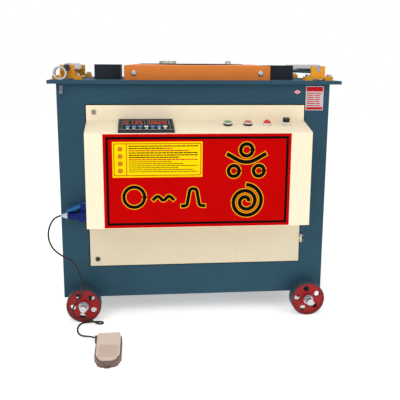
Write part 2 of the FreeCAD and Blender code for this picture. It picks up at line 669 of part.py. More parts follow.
def spare_sleeve():
    """A spare bending sleeve hangs on a peg of the left front bracket."""
    foot_front = "roller_start - 4 - foot_deep + 10"
    flange = box("holder_flange", ("24", "1.8", "foot_thick + 2"),
                 ("spare_x - 12", foot_front + " - 1.8", "table_top"))
    peg = rod("holder_peg", "6", "32", ("spare_x", foot_front + " - 32", "table_top + 13"), "Y")
    node(fuse("sleeve_holder", flange, peg))
    tube = rod("spare_tube", "spare_round", "33", ("spare_x", "5", "table_top + spare_round"), "Y")
    hole = rod("spare_hole", "spare_bore", "200", ("spare_x", "-50", "table_top + spare_round"), "Y")
    node(cut("spare_sleeve", tube, hole))


# ---------------------------------------------------------------- drive under the table

WORM_Y = "disc_y + wheel_gear_round + worm_round + 0.6"
WORM_WHEEL_TEETH = 30


def gearbox():
    top = "table_top - plate_thick"
    outer = box("gearbox_outer", ("gearbox_half * 2", "310", "180"), ("tool_x - gearbox_half", "200",
                                                                      top + " - 180"))
    cavity = box("gearbox_cavity", ("gearbox_half * 2 - gearbox_wall * 2", "310 - gearbox_wall * 2",
                                    "180 - gearbox_wall * 2"),
                 ("tool_x - gearbox_half + gearbox_wall", "200 + gearbox_wall",
                  top + " - 180 + gearbox_wall"))
    throat = rod("gearbox_throat", "62", "60", ("tool_x", "disc_y", top + " - 30"))
    worm_way = rod("gearbox_worm_way", "30", "400", ("tool_x - 200", WORM_Y, "worm_z"), "X")
    node(cut("gearbox_housing", outer, cavity, throat, worm_way))

    rings = []
    main = rod("main_bearing_ring", "62", "gearbox_wall", ("tool_x", "disc_y", top + " - gearbox_wall"))
    main_bore = rod("main_bearing_bore", "shaft_round + running_gap", "60",
                    ("tool_x", "disc_y", top + " - 30"))
    rings.append(cut("main_bearing", main, main_bore))
    for side, x in ((0, "tool_x - gearbox_half"), (1, "tool_x + gearbox_half - gearbox_wall")):
        ring = rod("worm_ring_%d" % side, "30", "gearbox_wall", (x, WORM_Y, "worm_z"), "X")
        bore = rod("worm_ring_bore_%d" % side, "15 + running_gap", "400",
                   ("tool_x - 200", WORM_Y, "worm_z"), "X")
        rings.append(cut("worm_bearing_%d" % side, ring, bore))
    node(group("bearings", *rings))

    column = rod("shaft_column", "shaft_round", "disc_top - disc_thick - 656", ("tool_x", "disc_y", "656"))
    flange = rod("shaft_flange", "60", "11", ("tool_x", "disc_y", "disc_top - disc_thick - 11"))
    node(fuse("main_shaft", column, flange))

    gear = rod("gear_blank", "wheel_gear_round", "36", ("tool_x", "disc_y", "worm_z - 18"))
    gear_bore = rod("gear_bore", "shaft_round", "100", ("tool_x", "disc_y", "worm_z - 50"))
    teeth_cut = []
    for tooth in range(WORM_WHEEL_TEETH):
        gap = doc.addObject("Part::Box", "tooth_gap_%d" % tooth)
        gap.Length, gap.Width, gap.Height = 20, 9, 60
        turn = about("Z", tooth * 360 / WORM_WHEEL_TEETH)
        centre = Vector(size("tool_x"), size("disc_y") + size("front_y"), size("worm_z") - 30)
        reach = size("wheel_gear_round") - 9
        gap.Placement = FreeCAD.Placement(centre + turn.multVec(Vector(reach, -4.5, 0)), turn)
        teeth_cut.append(gap)
    node(cut("worm_wheel", gear, gear_bore, *teeth_cut))

    spindle = rod("worm_spindle", "15", "350", ("tool_x - 212", WORM_Y, "worm_z"), "X")
    thread = rod("worm_thread", "worm_round", "130", ("tool_x - 65", WORM_Y, "worm_z"), "X")
    grooves = []
    for step in range(8):
        start = "tool_x - 61 + 15 * %d" % step
        ring = rod("groove_ring_%d" % step, "worm_round + 5", "7", (start + " + 1", WORM_Y, "worm_z"), "X")
        core = rod("groove_core_%d" % step, "worm_round - 6", "9", (start, WORM_Y, "worm_z"), "X")
        grooves.append(cut("groove_%d" % step, ring, core))
    node(cut("worm_shaft", fuse("worm_solid", spindle, thread), *grooves))


def pulley(name, radius, shaft, z):
    rim = rod(name + "_rim", radius, "pulley_wide", ("pulley_x", WORM_Y, z), "X")
    bore = rod(name + "_bore", shaft, "100", ("pulley_x - 40", WORM_Y, z), "X")
    dishes = []
    for side, x in ((0, "pulley_x - 10"), (1, "pulley_x + pulley_wide - 10")):
        outer = rod("%s_dish_%d" % (name, side), "%s - 9" % radius, "20", (x, WORM_Y, z), "X")
        hub = rod("%s_hub_%d" % (name, side), "%s + 7" % shaft, "40", (x + " - 10", WORM_Y, z), "X")
        dishes.append(cut("%s_hollow_%d" % (name, side), outer, hub))
    node(cut(name, rim, bore, *dishes))


def belt_loop(x, width, top_radius, low_radius, thick):
    """A belt round two pulleys, one above the other, a little proud of both."""
    gap = 0.3
    high, low = size("worm_z"), size("motor_z")
    y = size("disc_y") + size("wheel_gear_round") + size("worm_round") + 0.6
    lean = math.asin((top_radius - low_radius) / (high - low))

    def loop(extra):
        def point(centre, radius, angle):
            return Vector(x, y + radius * math.cos(angle), centre + radius * math.sin(angle))
        upper, lower = top_radius + gap + extra, low_radius + gap + extra
        right_high = point(high, upper, -lean)
        left_high = point(high, upper, math.pi + lean)
        right_low = point(low, lower, -lean)
        left_low = point(low, lower, math.pi + lean)
        arcs = [Part.Arc(right_high, point(high, upper, math.pi / 2), left_high).toShape(),
                Part.LineSegment(left_high, left_low).toShape(),
                Part.Arc(left_low, point(low, lower, -math.pi / 2), right_low).toShape(),
                Part.LineSegment(right_low, right_high).toShape()]
        return Part.Face(Part.Wire(arcs)).extrude(Vector(width, 0, 0))

    return loop(thick).cut(loop(0))


def motor():
    shell = rod("motor_shell", "motor_round", "motor_half * 2",
                ("tool_x - motor_half", WORM_Y, "motor_z"), "X")
    feet = box("motor_feet", ("185", "150", "motor_z - cabinet_low - beam_tall"),
               ("tool_x - 92.5", WORM_Y + " - 75", "cabinet_low + beam_tall"))
    cavity = rod("motor_cavity", "62", "motor_half * 2 - 30",
                 ("tool_x - motor_half + 15", WORM_Y, "motor_z"), "X")
    way = rod("motor_way", "14 + running_gap", "312", ("tool_x - 200", WORM_Y, "motor_z"), "X")
    node(cut("motor_body", fuse("motor_solid", shell, feet), cavity, way))
    shaft = rod("motor_spindle", "14", "310", ("tool_x - 202", WORM_Y, "motor_z"), "X")
    rotor = rod("motor_rotor", "40", "90", ("tool_x - 45", WORM_Y, "motor_z"), "X")
    node(fuse("motor_shaft", shaft, rotor))
    pulley("worm_pulley", "worm_pulley_round", "15", "worm_z")
    pulley("motor_pulley", "motor_pulley_round", "14", "motor_z")
    belts = [belt_loop(size("pulley_x") + inset, 11, size("worm_pulley_round"), size("motor_pulley_round"), 8)
             for inset in (4, 19)]
    node(feature("drive_belts", Part.makeCompound(belts)))


# ---------------------------------------------------------------- foot switch

def foot_socket():
    case = box("socket_case", ("28", "66", "32"), ("-406", "-66", "plug_z - 16"))
    ears = [box("socket_ear_%d" % k, ("22", "4", "28"), ("-400", y, "plug_z + 15"))
            for k, y in enumerate(("plug_y - 22", "plug_y + 18"))]
    collar = rod("socket_collar", "plug_round + 2.2", "6", ("-412", "plug_y", "plug_z"), "X")
    hinge = rod("socket_hinge", "2", "44", ("-386", "plug_y - 22", "plug_z + 35"), "Y")
    well = rod("socket_well", "plug_round - 1.5", "26", ("-412", "plug_y", "plug_z"), "X")
    node(cut("socket_housing", fuse("socket_solid", case, collar, hinge, *ears), well))

    # The lid is open and lies on the plug: a shallow cap round its hinge, turned down to the left.
    slab = doc.addObject("Part::Box", "lid_slab")
    slab.Length, slab.Width, slab.Height = 66, 35, 10
    slab.Placement.Base = Vector(-62, -17.5, -0.5)
    eye = doc.addObject("Part::Cylinder", "lid_eye")
    eye.Radius, eye.Height = 4, 35
    eye.Placement = FreeCAD.Placement(Vector(0, -17.5, 0), ALONG["Y"])
    solid = fuse("lid_solid", slab, eye)
    bore = doc.addObject("Part::Cylinder", "lid_bore")
    bore.Radius, bore.Height = 2.05, 60
    bore.Placement = FreeCAD.Placement(Vector(0, -30, 0), ALONG["Y"])
    lid = cut("socket_lid", solid, bore)
    place(lid, ("-386", "plug_y", "plug_z + 35"), about("Y", -LID_REST))
    node(lid)

    plug = rod("plug_barrel", "plug_round", "-412 - plug_end", ("plug_end", "plug_y", "plug_z"), "X")
    nose = rod("plug_nose", "plug_round - 2", "24", ("-414", "plug_y", "plug_z"), "X")
    node(fuse("plug_body", plug, nose))
    cone = taper("gland_cone", "4", "gland_round", "gland_long",
                 ("plug_end - gland_long", "plug_y", "plug_z"), "X")
    node(cone, "plug_gland")


LID_REST = 19


def pedal_outline(inset, lift, tall):
    """A tray outline, wide at the heel (towards the cabinet) and narrower at the rounded toe."""
    x, back = size("pedal_x"), -size("pedal_back")
    half, nose, long = size("pedal_wide") / 2 - inset, size("pedal_nose") / 2 - inset, size("pedal_long")
    toe, heel = back - long + inset, back - inset
    bend = back - long * 0.76
    corner = 9
    points = [(x - half + 3, heel), (x + half - 3, heel), (x + half, heel - 14), (x + half, bend),
              (x + nose + 2, toe + corner), (x + nose - corner, toe), (x - nose + corner, toe),
              (x - nose - 2, toe + corner), (x - half, bend), (x - half, heel - 14)]
    ring = [Vector(px, py, lift) for px, py in points]
    return Part.Face(Part.makePolygon(ring + ring[:1])).extrude(Vector(0, 0, tall))


TREADLE_SLOPE = 4.0
TREADLE_GAP = 4
SKIRT_TALL, SKIRT_LOW = 20, 12
RIB_PITCH, RIB_WIDE, RIB_TALL = 5.2, 2.2, 1.6


def pedal():
    x, back, long = size("pedal_x"), -size("pedal_back"), size("pedal_long")
    metal, top, wall = size("treadle_metal"), size("treadle_top"), size("tray_wall")
    left, toe = x - size("pedal_wide") / 2, back - long
    pin_y, pin_z = back - 22, size("pedal_pin_z")
    tab_long = size("pedal_tab")

    # Base: a tray with two hinge posts, a small tab at the toe and an inlet for the cable on its left wall.
    base = pedal_outline(0, 0, size("tray_tall")).cut(pedal_outline(wall, wall, size("tray_tall")))
    tab = Part.makeBox(18, tab_long + 1, 3, Vector(x - 9, toe - tab_long, 0))
    inlet = Part.makeBox(9, 14, 22, Vector(left - 6, pin_y + 6, 3))
    base = base.fuse([tab, inlet])
    for side in (-1, 1):
        post = Part.makeBox(6, 16, pin_z + 4, Vector(x + side * 27 - 3, pin_y - 8, 0))
        base = base.fuse(post)
    hinge_hole = Part.makeCylinder(3, 60, Vector(x - 30, pin_y, pin_z), Vector(1, 0, 0))
    node(feature("pedal_base", base.cut(hinge_hole).removeSplitter()))

    node(rod("pedal_pin", "3", "pedal_wide - 9",
             ("pedal_x - pedal_wide / 2 + 4.5", "%g" % pin_y, "pedal_pin_z"), "X"))

    # Treadle: a shell inside the tray's walls that falls towards the toe, with grip ribs on its toe half.
    shell = pedal_outline(TREADLE_GAP, top - SKIRT_TALL, SKIRT_TALL)
    room = pedal_outline(TREADLE_GAP + metal, top - SKIRT_TALL - 1, SKIRT_TALL + 1 - metal)
    shell = shell.cut(room)
    for rib in range(-5, 6):
        corner = Vector(x + rib * RIB_PITCH - RIB_WIDE / 2, toe + 24, top - 0.2)
        shell = shell.fuse(Part.makeBox(RIB_WIDE, long * 0.42, RIB_TALL, corner))
    shell = shell.cut(Part.makeCylinder(3.05, 100, Vector(x - 50, pin_y, pin_z), Vector(1, 0, 0)))
    shell.rotate(Vector(x, pin_y, pin_z), Vector(1, 0, 0), TREADLE_SLOPE)
    below = Part.makeBox(300, 400, 60, Vector(x - 150, toe - 50, SKIRT_LOW - 60))
    node(feature("pedal_treadle", shell.cut(below).removeSplitter()))


# The cable's route, from the cone's tip to the pedal's inlet: it drops beside the cabinet to the floor,
# folds back on itself before the wheel and then runs forward on the floor to the pedal.
CABLE_ROUTE = [
    (-467.8, -36, 377), (-489, -38.5, 373), (-506, -49, 347), (-512, -58, 318), (-507, -66, 290),
    (-492, -74, 266), (-464, -83, 247), (-436, -91, 236), (-419, -98, 220), (-409, -104, 197),
    (-401, -109, 170), (-398, -112, 142), (-404, -110, 116), (-418, -106, 93), (-430, -104, 73),
    (-435, -103, 56), (-432, -103, 40), (-417, -102, 30), (-398, -101, 30), (-381, -100, 24),
    (-365, -99, 13), (-351, -98.5, 5.5), (-340, -98.5, 3.5), (-333, -92.5, 3.2), (-333, -83, 3.2),
    (-340, -76.8, 3.2), (-356, -76.8, 3.2), (-378, -77, 3.2), (-399, -80, 3.2), (-411, -92, 3.2),
    (-416, -112, 3.2), (-417, -136, 3.2), (-414, -160, 3.2), (-407, -180, 3.4), (-394, -197, 5),
    (-377, -213, 10), (-362, -231, 16), (-355.2, -242, 18.3),
]


def rounded_path(points):
    """Straight runs joined by tangent arcs, each as large as its two runs allow."""
    corners = [Vector(*p) for p in points]
    edges = []
    radii = []
    start = corners[0]
    for before, here, after in zip(corners, corners[1:], corners[2:]):
        back, ahead = before - here, after - here
        turn = math.pi - back.getAngle(ahead)
        run = min(back.Length, ahead.Length)
        radius = 0.45 * run / math.tan(turn / 2)
        radii.append(radius)
        setback = radius * math.tan(turn / 2)
        enter = here + back.normalize() * setback
        leave = here + ahead.normalize() * setback
        inward = (back + ahead).normalize()
        middle = here + inward * (radius / math.cos(turn / 2) - radius)
        edges.append(Part.LineSegment(start, enter).toShape())
        edges.append(Part.Arc(enter, middle, leave).toShape())
        start = leave
    edges.append(Part.LineSegment(start, corners[-1]).toShape())
    return Part.Wire(edges), radii


def pedal_cable():
    path, radii = rounded_path(CABLE_ROUTE)
    first = Vector(*CABLE_ROUTE[1]) - Vector(*CABLE_ROUTE[0])
    section = Part.Wire(Part.makeCircle(size("cable_round"), Vector(*CABLE_ROUTE[0]), first))
    tube = path.makePipeShell([section], True, False)
    expected = math.pi * size("cable_round") ** 2 * path.Length
    print("cable: length %.0f mm, volume ratio %.4f" % (path.Length, tube.Volume / expected))
    print("cable radii:", " ".join("%.0f" % radius for radius in radii))
    node(feature("pedal_cable", tube))


def build():
    table_plate()
    cabinet_panels()
    base_frame()
    cable_hook()
    running_gear()
    door()
    hinge_frame_halves()
    door_lock("lock_lower", LOCK_LEVELS[0], "6")
    door_lock("lock_upper", LOCK_LEVELS[1], "cam_long")
    console()
    guard()
    hole_strip("hole_strip_left", -1)
    hole_strip("hole_strip_right", 1)
    working_disc()
    table_fittings()
    gearbox()
    motor()
    foot_socket()
    pedal()
    pedal_cable()


def check_and_write():
    doc.recompute()
    for thing in doc.Objects:
        if "Invalid" in thing.State or "Error" in thing.State:
            raise RuntimeError("%s did not compute: %s" % (thing.Name, thing.State))
    for thing in NODES:
        shape = thing.Shape
        if shape.isNull() or not shape.isValid() or not shape.Solids:
            raise RuntimeError("%s has no valid solid" % thing.Label)
    for thing in NODES:
        thing.Shape.exportStep(os.path.join("parts", thing.Label + ".step"))
    whole = Part.makeCompound([thing.Shape for thing in NODES if thing.Label != "pedal_cable"]).BoundBox
    print("%d nodes, box x %.1f..%.1f y %.1f..%.1f z %.1f..%.1f"
          % (len(NODES), whole.XMin, whole.XMax, whole.YMin, whole.YMax, whole.ZMin, whole.ZMax))


build()
check_and_write()
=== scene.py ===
"""Looks of the floor-standing bar bender: camera, cable, materials, printed plates, small parts and stage.

Metres, in the frame's own axes: +Z up, the front faces -Y. Places given from the cabinet's front face go
through at().
"""
import math
import random

import bpy
import bmesh
from mathutils import Matrix, Vector


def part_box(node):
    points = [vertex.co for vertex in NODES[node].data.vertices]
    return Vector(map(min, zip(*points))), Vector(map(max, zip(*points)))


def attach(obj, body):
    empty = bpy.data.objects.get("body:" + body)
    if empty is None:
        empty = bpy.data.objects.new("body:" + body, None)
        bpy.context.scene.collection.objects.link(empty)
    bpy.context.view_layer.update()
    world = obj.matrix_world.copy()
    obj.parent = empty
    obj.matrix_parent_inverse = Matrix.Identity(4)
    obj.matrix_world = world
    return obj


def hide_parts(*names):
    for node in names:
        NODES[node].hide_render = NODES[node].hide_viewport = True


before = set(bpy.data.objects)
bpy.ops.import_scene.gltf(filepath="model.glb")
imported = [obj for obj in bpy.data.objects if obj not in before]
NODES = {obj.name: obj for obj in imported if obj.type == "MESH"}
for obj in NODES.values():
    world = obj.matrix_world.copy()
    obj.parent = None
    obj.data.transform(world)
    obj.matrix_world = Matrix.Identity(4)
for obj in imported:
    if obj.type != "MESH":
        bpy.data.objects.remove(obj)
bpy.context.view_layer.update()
scene = bpy.context.scene
random.seed(7)

FRONT_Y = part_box("cabinet_front_frame")[0].y
# The console's front face, and its lid: depth, height of its front edge and how steeply it rises.
CONSOLE_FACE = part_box("console_box")[0].y - FRONT_Y
CONSOLE_DEPTH = -CONSOLE_FACE
CREASE_Z = 0.667
SLOPE = math.atan2(0.029, 0.122)
CONTROL_UP = (CONSOLE_DEPTH - 0.047) / math.cos(SLOPE)
# Below this height the door's paint is darkened: painted shade.
SHADE_BELOW_HEIGHT = 0.345
# Where the painted leaves of the hinges begin, and where the black collars give way to pale ones.
HINGE_SPLIT_X, COLLAR_SPLIT_X = 0.3853, 0.205
# Spacing of the treadle's ribs, and of the slots in the rear panel.
RIB_PITCH = 0.0052
LOUVRE_COLUMN_X, LOUVRE_HALF, LOUVRE_LOW, LOUVRE_PITCH = 0.220, 0.086, 0.430, 0.026
# From the cabinet's front to the front nuts, and from the rear axle ends to the rear nuts.
NUT_FRONT, NUT_REAR = 0.0776, 0.0274

CAMERA_PLACE = (-0.2125, -2.1759, 0.8831)
CAMERA_YAW, CAMERA_PITCH, CAMERA_ROLL = (math.radians(turn) for turn in (5.91, 12.045, 0.345))
CAMERA_LENS, SENSOR_WIDTH = 56.9, 36


def at(x, y, z):
    """A point given from the cabinet's front face."""
    return Vector((x, y + FRONT_Y, z))


def middle_of(name):
    """The middle of a CAD node's box."""
    low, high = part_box(name)
    return (low + high) / 2


# ---------------------------------------------------------------- camera and cable

def make_camera():
    data = bpy.data.cameras.new("camera")
    data.sensor_width = SENSOR_WIDTH
    data.lens = CAMERA_LENS
    camera = bpy.data.objects.new("camera", data)
    scene.collection.objects.link(camera)
    turn = (Matrix.Rotation(-CAMERA_YAW, 4, "Z") @ Matrix.Rotation(math.pi / 2 - CAMERA_PITCH, 4, "X")
            @ Matrix.Rotation(CAMERA_ROLL, 4, "Z"))
    camera.matrix_world = Matrix.Translation(at(*CAMERA_PLACE)) @ turn
    scene.camera = camera


# From the plug's cone down to the floor, back on itself before the wheel, then forward to the pedal.
CABLE_ROUTE = [
    (-.4678, -.036, .377), (-.489, -.0385, .373), (-.506, -.049, .347), (-.512, -.058, .318),
    (-.507, -.066, .290), (-.492, -.074, .266), (-.464, -.083, .247), (-.436, -.091, .236),
    (-.419, -.098, .220), (-.409, -.104, .197), (-.401, -.109, .170), (-.398, -.112, .142),
    (-.404, -.110, .116), (-.418, -.106, .093), (-.430, -.104, .073), (-.435, -.103, .056),
    (-.432, -.103, .040), (-.417, -.102, .030), (-.398, -.101, .030), (-.381, -.100, .024),
    (-.365, -.099, .013), (-.351, -.0985, .0055), (-.340, -.0985, .0035), (-.333, -.0925, .0032),
    (-.333, -.083, .0032), (-.340, -.0768, .0032), (-.356, -.0768, .0032), (-.378, -.077, .0032),
    (-.399, -.080, .0032), (-.411, -.092, .0032), (-.416, -.112, .0032), (-.417, -.136, .0032),
    (-.414, -.160, .0032), (-.407, -.180, .0034), (-.394, -.197, .005), (-.377, -.213, .010),
    (-.362, -.231, .016), (-.3552, -.242, .0183),
]


def pedal_cable(material):
    data = bpy.data.curves.new("cable", "CURVE")
    data.dimensions = "3D"
    spline = data.splines.new("NURBS")
    spline.points.add(len(CABLE_ROUTE) - 1)
    for point, place in zip(spline.points, CABLE_ROUTE):
        point.co = (*at(*place), 1)
    spline.order_u = 3
    spline.use_endpoint_u = True
    spline.resolution_u = 12
    data.bevel_depth = 0.003
    data.bevel_resolution = 4
    data.use_fill_caps = True
    data.materials.append(material)
    cable = bpy.data.objects.new("cable", data)
    scene.collection.objects.link(cable)
    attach(cable, "machine")
    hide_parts("pedal_cable")


# ---------------------------------------------------------------- shader building

def rgb(red, green, blue):
    """Screen colour values, 0 to 255, as the linear colour a shader takes."""
    def linear(value):
        value /= 255
        return value / 12.92 if value <= 0.04045 else ((value + 0.055) / 1.055) ** 2.4
    return (linear(red), linear(green), linear(blue), 1)


class Shader:
    """A material under construction: a Principled shader and the nodes that feed it."""

    def __init__(self, name):
        self.material = bpy.data.materials.new(name)
        self.material.use_nodes = True
        self.tree = self.material.node_tree
        self.surface = self.tree.nodes["Principled BSDF"]
        self.position = self.add("ShaderNodeTexCoord").outputs["Object"]

    def add(self, kind, **settings):
        item = self.tree.nodes.new(kind)
        for key, value in settings.items():
            setattr(item, key, value)
        return item

    def link(self, source, target):
        self.tree.links.new(source, target)

    def stretch(self, scale):
        """Object coordinates, scaled by three factors."""
        mapping = self.add("ShaderNodeMapping")
        mapping.inputs["Scale"].default_value = scale
        self.link(self.position, mapping.inputs["Vector"])
        return mapping.outputs["Vector"]

    def noise(self, scale, detail=3.0, vector=None):
        item = self.add("ShaderNodeTexNoise")
        item.inputs["Scale"].default_value = scale
        item.inputs["Detail"].default_value = detail
        item.inputs["Roughness"].default_value = 0.55
        self.link(vector or self.position, item.inputs["Vector"])
        return item.outputs["Fac"]

    def ramp(self, factor, stops):
        """Map a factor through (position, colour or grey) stops."""
        item = self.add("ShaderNodeValToRGB")
        elements = item.color_ramp.elements
        while len(elements) < len(stops):
            elements.new(0.5)
        for element, (place, colour) in zip(elements, stops):
            element.position = place
            element.color = colour if isinstance(colour, tuple) else (colour, colour, colour, 1)
        self.link(factor, item.inputs["Fac"])
        return item.outputs["Color"]

    def mix(self, factor, first, second, blend="MIX"):
        item = self.add("ShaderNodeMix", data_type="RGBA", blend_type=blend)
        for socket, value in ((item.inputs[0], factor), (item.inputs[6], first), (item.inputs[7], second)):
            if isinstance(value, bpy.types.NodeSocket):
                self.link(value, socket)
            else:
                socket.default_value = value
        return item.outputs[2]

    def maths(self, operation, first, second=0.0):
        item = self.add("ShaderNodeMath", operation=operation)
        for socket, value in zip(item.inputs, (first, second)):
            if isinstance(value, bpy.types.NodeSocket):
                self.link(value, socket)
            else:
                socket.default_value = value
        return item.outputs[0]

    def axis(self, letter, vector=None):
        item = self.add("ShaderNodeSeparateXYZ")
        self.link(vector or self.position, item.inputs[0])
        return item.outputs[letter]

    def past(self, letter, place):
        """0 on one side of a plane and 1 beyond it, with a step of 2 mm."""
        return self.ramp(self.maths("SUBTRACT", self.axis(letter), place - 0.5), [(0.499, 0.0), (0.501, 1.0)])

    def short_of(self, letter, place, soft):
        """1 before a plane and 0 beyond it, with a soft step."""
        return self.ramp(self.maths("SUBTRACT", place + 0.5, self.axis(letter)),
                         [(0.5 - soft, 0.0), (0.5 + soft, 1.0)])

    def reach(self, letters, centre):
        """Distance from an axis, given the two letters of the plane across it and its place there."""
        squares = []
        for letter, place in zip(letters, centre):
            off = self.maths("SUBTRACT", self.axis(letter), place)
            squares.append(self.maths("MULTIPLY", off, off))
        return self.maths("SQRT", self.maths("ADD", *squares))

    def edges(self, radius=0.0012):
        """The rounded normal of edges, and a mask that is 1 on flat faces and less along edges."""
        bevel = self.add("ShaderNodeBevel", samples=4)
        bevel.inputs["Radius"].default_value = radius
        plain = self.add("ShaderNodeNewGeometry")
        dot = self.add("ShaderNodeVectorMath", operation="DOT_PRODUCT")
        self.link(bevel.outputs["Normal"], dot.inputs[0])
        self.link(plain.outputs["Normal"], dot.inputs[1])
        return bevel.outputs["Normal"], dot.outputs["Value"]

    def bump(self, height, strength, distance, normal=None):
        item = self.add("ShaderNodeBump")
        item.inputs["Strength"].default_value = strength
        item.inputs["Distance"].default_value = distance
        self.link(height, item.inputs["Height"])
        if normal is not None:
            self.link(normal, item.inputs["Normal"])
        self.link(item.outputs["Normal"], self.surface.inputs["Normal"])

    def set(self, **values):
        for key, value in values.items():
            socket = self.surface.inputs[key.replace("_", " ")]
            if isinstance(value, bpy.types.NodeSocket):
                self.link(value, socket)
            else:
                socket.default_value = value
        return self


def shade(colour, factor):
    return tuple(min(1.0, part * factor) for part in colour[:3]) + (1,)


# What the paint keeps of its colour in the painted shade low on the door, channel by channel.
LOWER_SHADE_TINT = (0.78, 0.79, 0.79, 1)


def painted(name, colour, rough=0.42, edge=1.5, grime=0.16, peel=0.25, gloss=0.25, shade_below=None):
    """Sprayed enamel: faint mottle, orange peel, brighter worn edges, and, when a height is given, painted
    shade below it.
    """
    made = Shader(name)
    patches = made.noise(2.6, 4)
    tone = made.ramp(patches, [(0.32, shade(colour, 1 - grime)), (0.62, colour),
                               (0.8, shade(colour, 1 + grime / 2))])
    streaks = made.noise(9, 3, vector=made.stretch((6, 6, 0.5)))
    tone = made.mix(made.ramp(streaks, [(0.55, 0.0), (0.8, 0.22)]), tone, shade(colour, 0.82))
    # Below the given height the colour is darkened to stand for shade: painted shade.
    if shade_below is not None:
        tone = made.mix(made.short_of("Z", shade_below, 0.01), tone, LOWER_SHADE_TINT, "MULTIPLY")
    normal, flat = made.edges()
    worn = made.maths("MULTIPLY", made.ramp(flat, [(0.80, 1.0), (0.97, 0.0)]),
                      made.ramp(made.noise(55, 4), [(0.42, 0.15), (0.6, 0.9)]))
    tone = made.mix(worn, tone, shade(colour, edge))
    made.set(Base_Color=tone, Specular_IOR_Level=gloss,
             Roughness=made.ramp(made.noise(14, 4), [(0.3, rough - 0.07), (0.7, rough + 0.10)]))
    made.bump(made.noise(420, 2), peel, 0.00035, normal)
    return made.material


def metal(name, colour, rough=0.28, brushed=(1, 1, 1), scratch=0.18, stain=0.25):
    """Bare or plated metal with fine marks along one direction, and cloudy stains."""
    made = Shader(name)
    clouds = made.noise(18, 4)
    tone = made.ramp(clouds, [(0.3, shade(colour, 1 - stain)), (0.65, colour)])
    lines = made.noise(160, 2, vector=made.stretch(brushed))
    normal, flat = made.edges(0.0008)
    tone = made.mix(made.ramp(flat, [(0.85, 0.5), (0.98, 0.0)]), tone, shade(colour, 1.25))
    made.set(Base_Color=tone, Metallic=1.0,
             Roughness=made.ramp(lines, [(0.3, rough - 0.08), (0.7, rough + 0.12)]))
    made.bump(lines, scratch, 0.0002, normal)
    return made.material


def plastic(name, colour, rough=0.3, grain=0.15, grain_scale=700, gloss=0.3):
    """Moulded plastic: fine grain, slight mottle and rounded edges."""
    made = Shader(name)
    tone = made.ramp(made.noise(30, 3), [(0.35, shade(colour, 0.88)), (0.65, colour)])
    normal, flat = made.edges(0.0008)
    tone = made.mix(made.ramp(flat, [(0.85, 0.35), (0.98, 0.0)]), tone, shade(colour, 1.35))
    made.set(Base_Color=tone, Specular_IOR_Level=gloss,
             Roughness=made.ramp(made.noise(40, 3), [(0.3, rough - 0.05), (0.7, rough + 0.08)]))
    made.bump(made.noise(grain_scale, 2), grain, 0.00015, normal)
    return made.material


def wheel_paint(name, centre):
    """Red enamel on the web and hub, a dark line at the rim that is painted shade, and a blue-grey tread that
    is scuffed by the floor.
    """
    red, dark, blue = rgb(158, 10, 14), rgb(44, 38, 44), rgb(52, 76, 92)
    made = Shader(name)
    # The places in the two ramps below are ten times a radius in metres.
    reach = made.reach("XZ", (centre.x, centre.z))
    wobble = made.maths("MULTIPLY", made.maths("SUBTRACT", made.noise(60, 3), 0.5), 0.003)
    # The dark ring at the edge of the rim is painted shade.
    rim = made.ramp(made.maths("MULTIPLY", made.maths("ADD", reach, wobble), 10),
                    [(0.560, 0.0), (0.570, 1.0)])
    tread = made.ramp(made.maths("MULTIPLY", reach, 10), [(0.5965, 0.0), (0.599, 1.0)])
    mottle = made.noise(24, 4)
    red_tone = made.ramp(mottle, [(0.3, shade(red, 0.72)), (0.7, red)])
    blue_tone = made.ramp(mottle, [(0.3, shade(blue, 0.7)), (0.7, shade(blue, 1.25))])
    normal, flat = made.edges(0.0015)
    tone = made.mix(tread, made.mix(rim, red_tone, dark), blue_tone)
    scuff = made.maths("MULTIPLY", made.ramp(flat, [(0.8, 1.0), (0.97, 0.0)]),
                       made.ramp(made.noise(80, 3), [(0.45, 0.0), (0.62, 0.5)]))
    tone = made.mix(scuff, tone, rgb(112, 96, 98))
    made.set(Base_Color=tone, Specular_IOR_Level=0.3,
             Roughness=made.ramp(made.noise(35, 3), [(0.3, 0.38), (0.7, 0.55)]))
    made.bump(made.noise(260, 3), 0.3, 0.0005, normal)
    return made.material


def turned_disc(name, centre):
    """Machined steel with fine turning rings round the disc's centre, and painted shade on the faces that
    turn away from the top.
    """
    steel = rgb(178, 180, 184)
    made = Shader(name)
    rings = made.maths("SINE", made.maths("MULTIPLY", made.reach("XY", (centre.x, centre.y)), 5200))
    clouds = made.noise(14, 5)
    tone = made.ramp(clouds, [(0.3, shade(steel, 0.62)), (0.7, steel)])
    rust = made.ramp(made.noise(42, 5), [(0.60, 0.0), (0.72, 0.35)])
    tone = made.mix(rust, tone, rgb(112, 78, 56))
    # Faces turned away from the top are dark grey: painted shade on the disc's rim.
    facing = made.add("ShaderNodeNewGeometry").outputs["Normal"]
    tone = made.mix(made.ramp(made.axis("Z", facing), [(0.45, 1.0), (0.75, 0.0)]), tone, rgb(62, 62, 66))
    normal, flat = made.edges(0.0015)
    tone = made.mix(made.ramp(flat, [(0.85, 0.6), (0.98, 0.0)]), tone, shade(steel, 1.2))
    made.set(Base_Color=tone, Metallic=0.85, Roughness=made.ramp(clouds, [(0.3, 0.46), (0.7, 0.34)]))
    made.bump(rings, 0.10, 0.0002, normal)
    return made.material


def blackened(name):
    """Oil-blacked steel block: near black, faintly blue, brighter along its corners."""
    black = rgb(36, 42, 52)
    made = Shader(name)
    tone = made.ramp(made.noise(12, 4), [(0.3, shade(black, 0.75)), (0.7, shade(black, 1.15))])
    normal, flat = made.edges(0.0014)
    tone = made.mix(made.ramp(flat, [(0.82, 0.7), (0.98, 0.0)]), tone, rgb(96, 102, 112))
    made.set(Base_Color=tone, Specular_IOR_Level=0.2,
             Roughness=made.ramp(made.noise(30, 3), [(0.3, 0.5), (0.7, 0.68)]))
    made.bump(made.noise(300, 3), 0.25, 0.0004, normal)
    return made.material


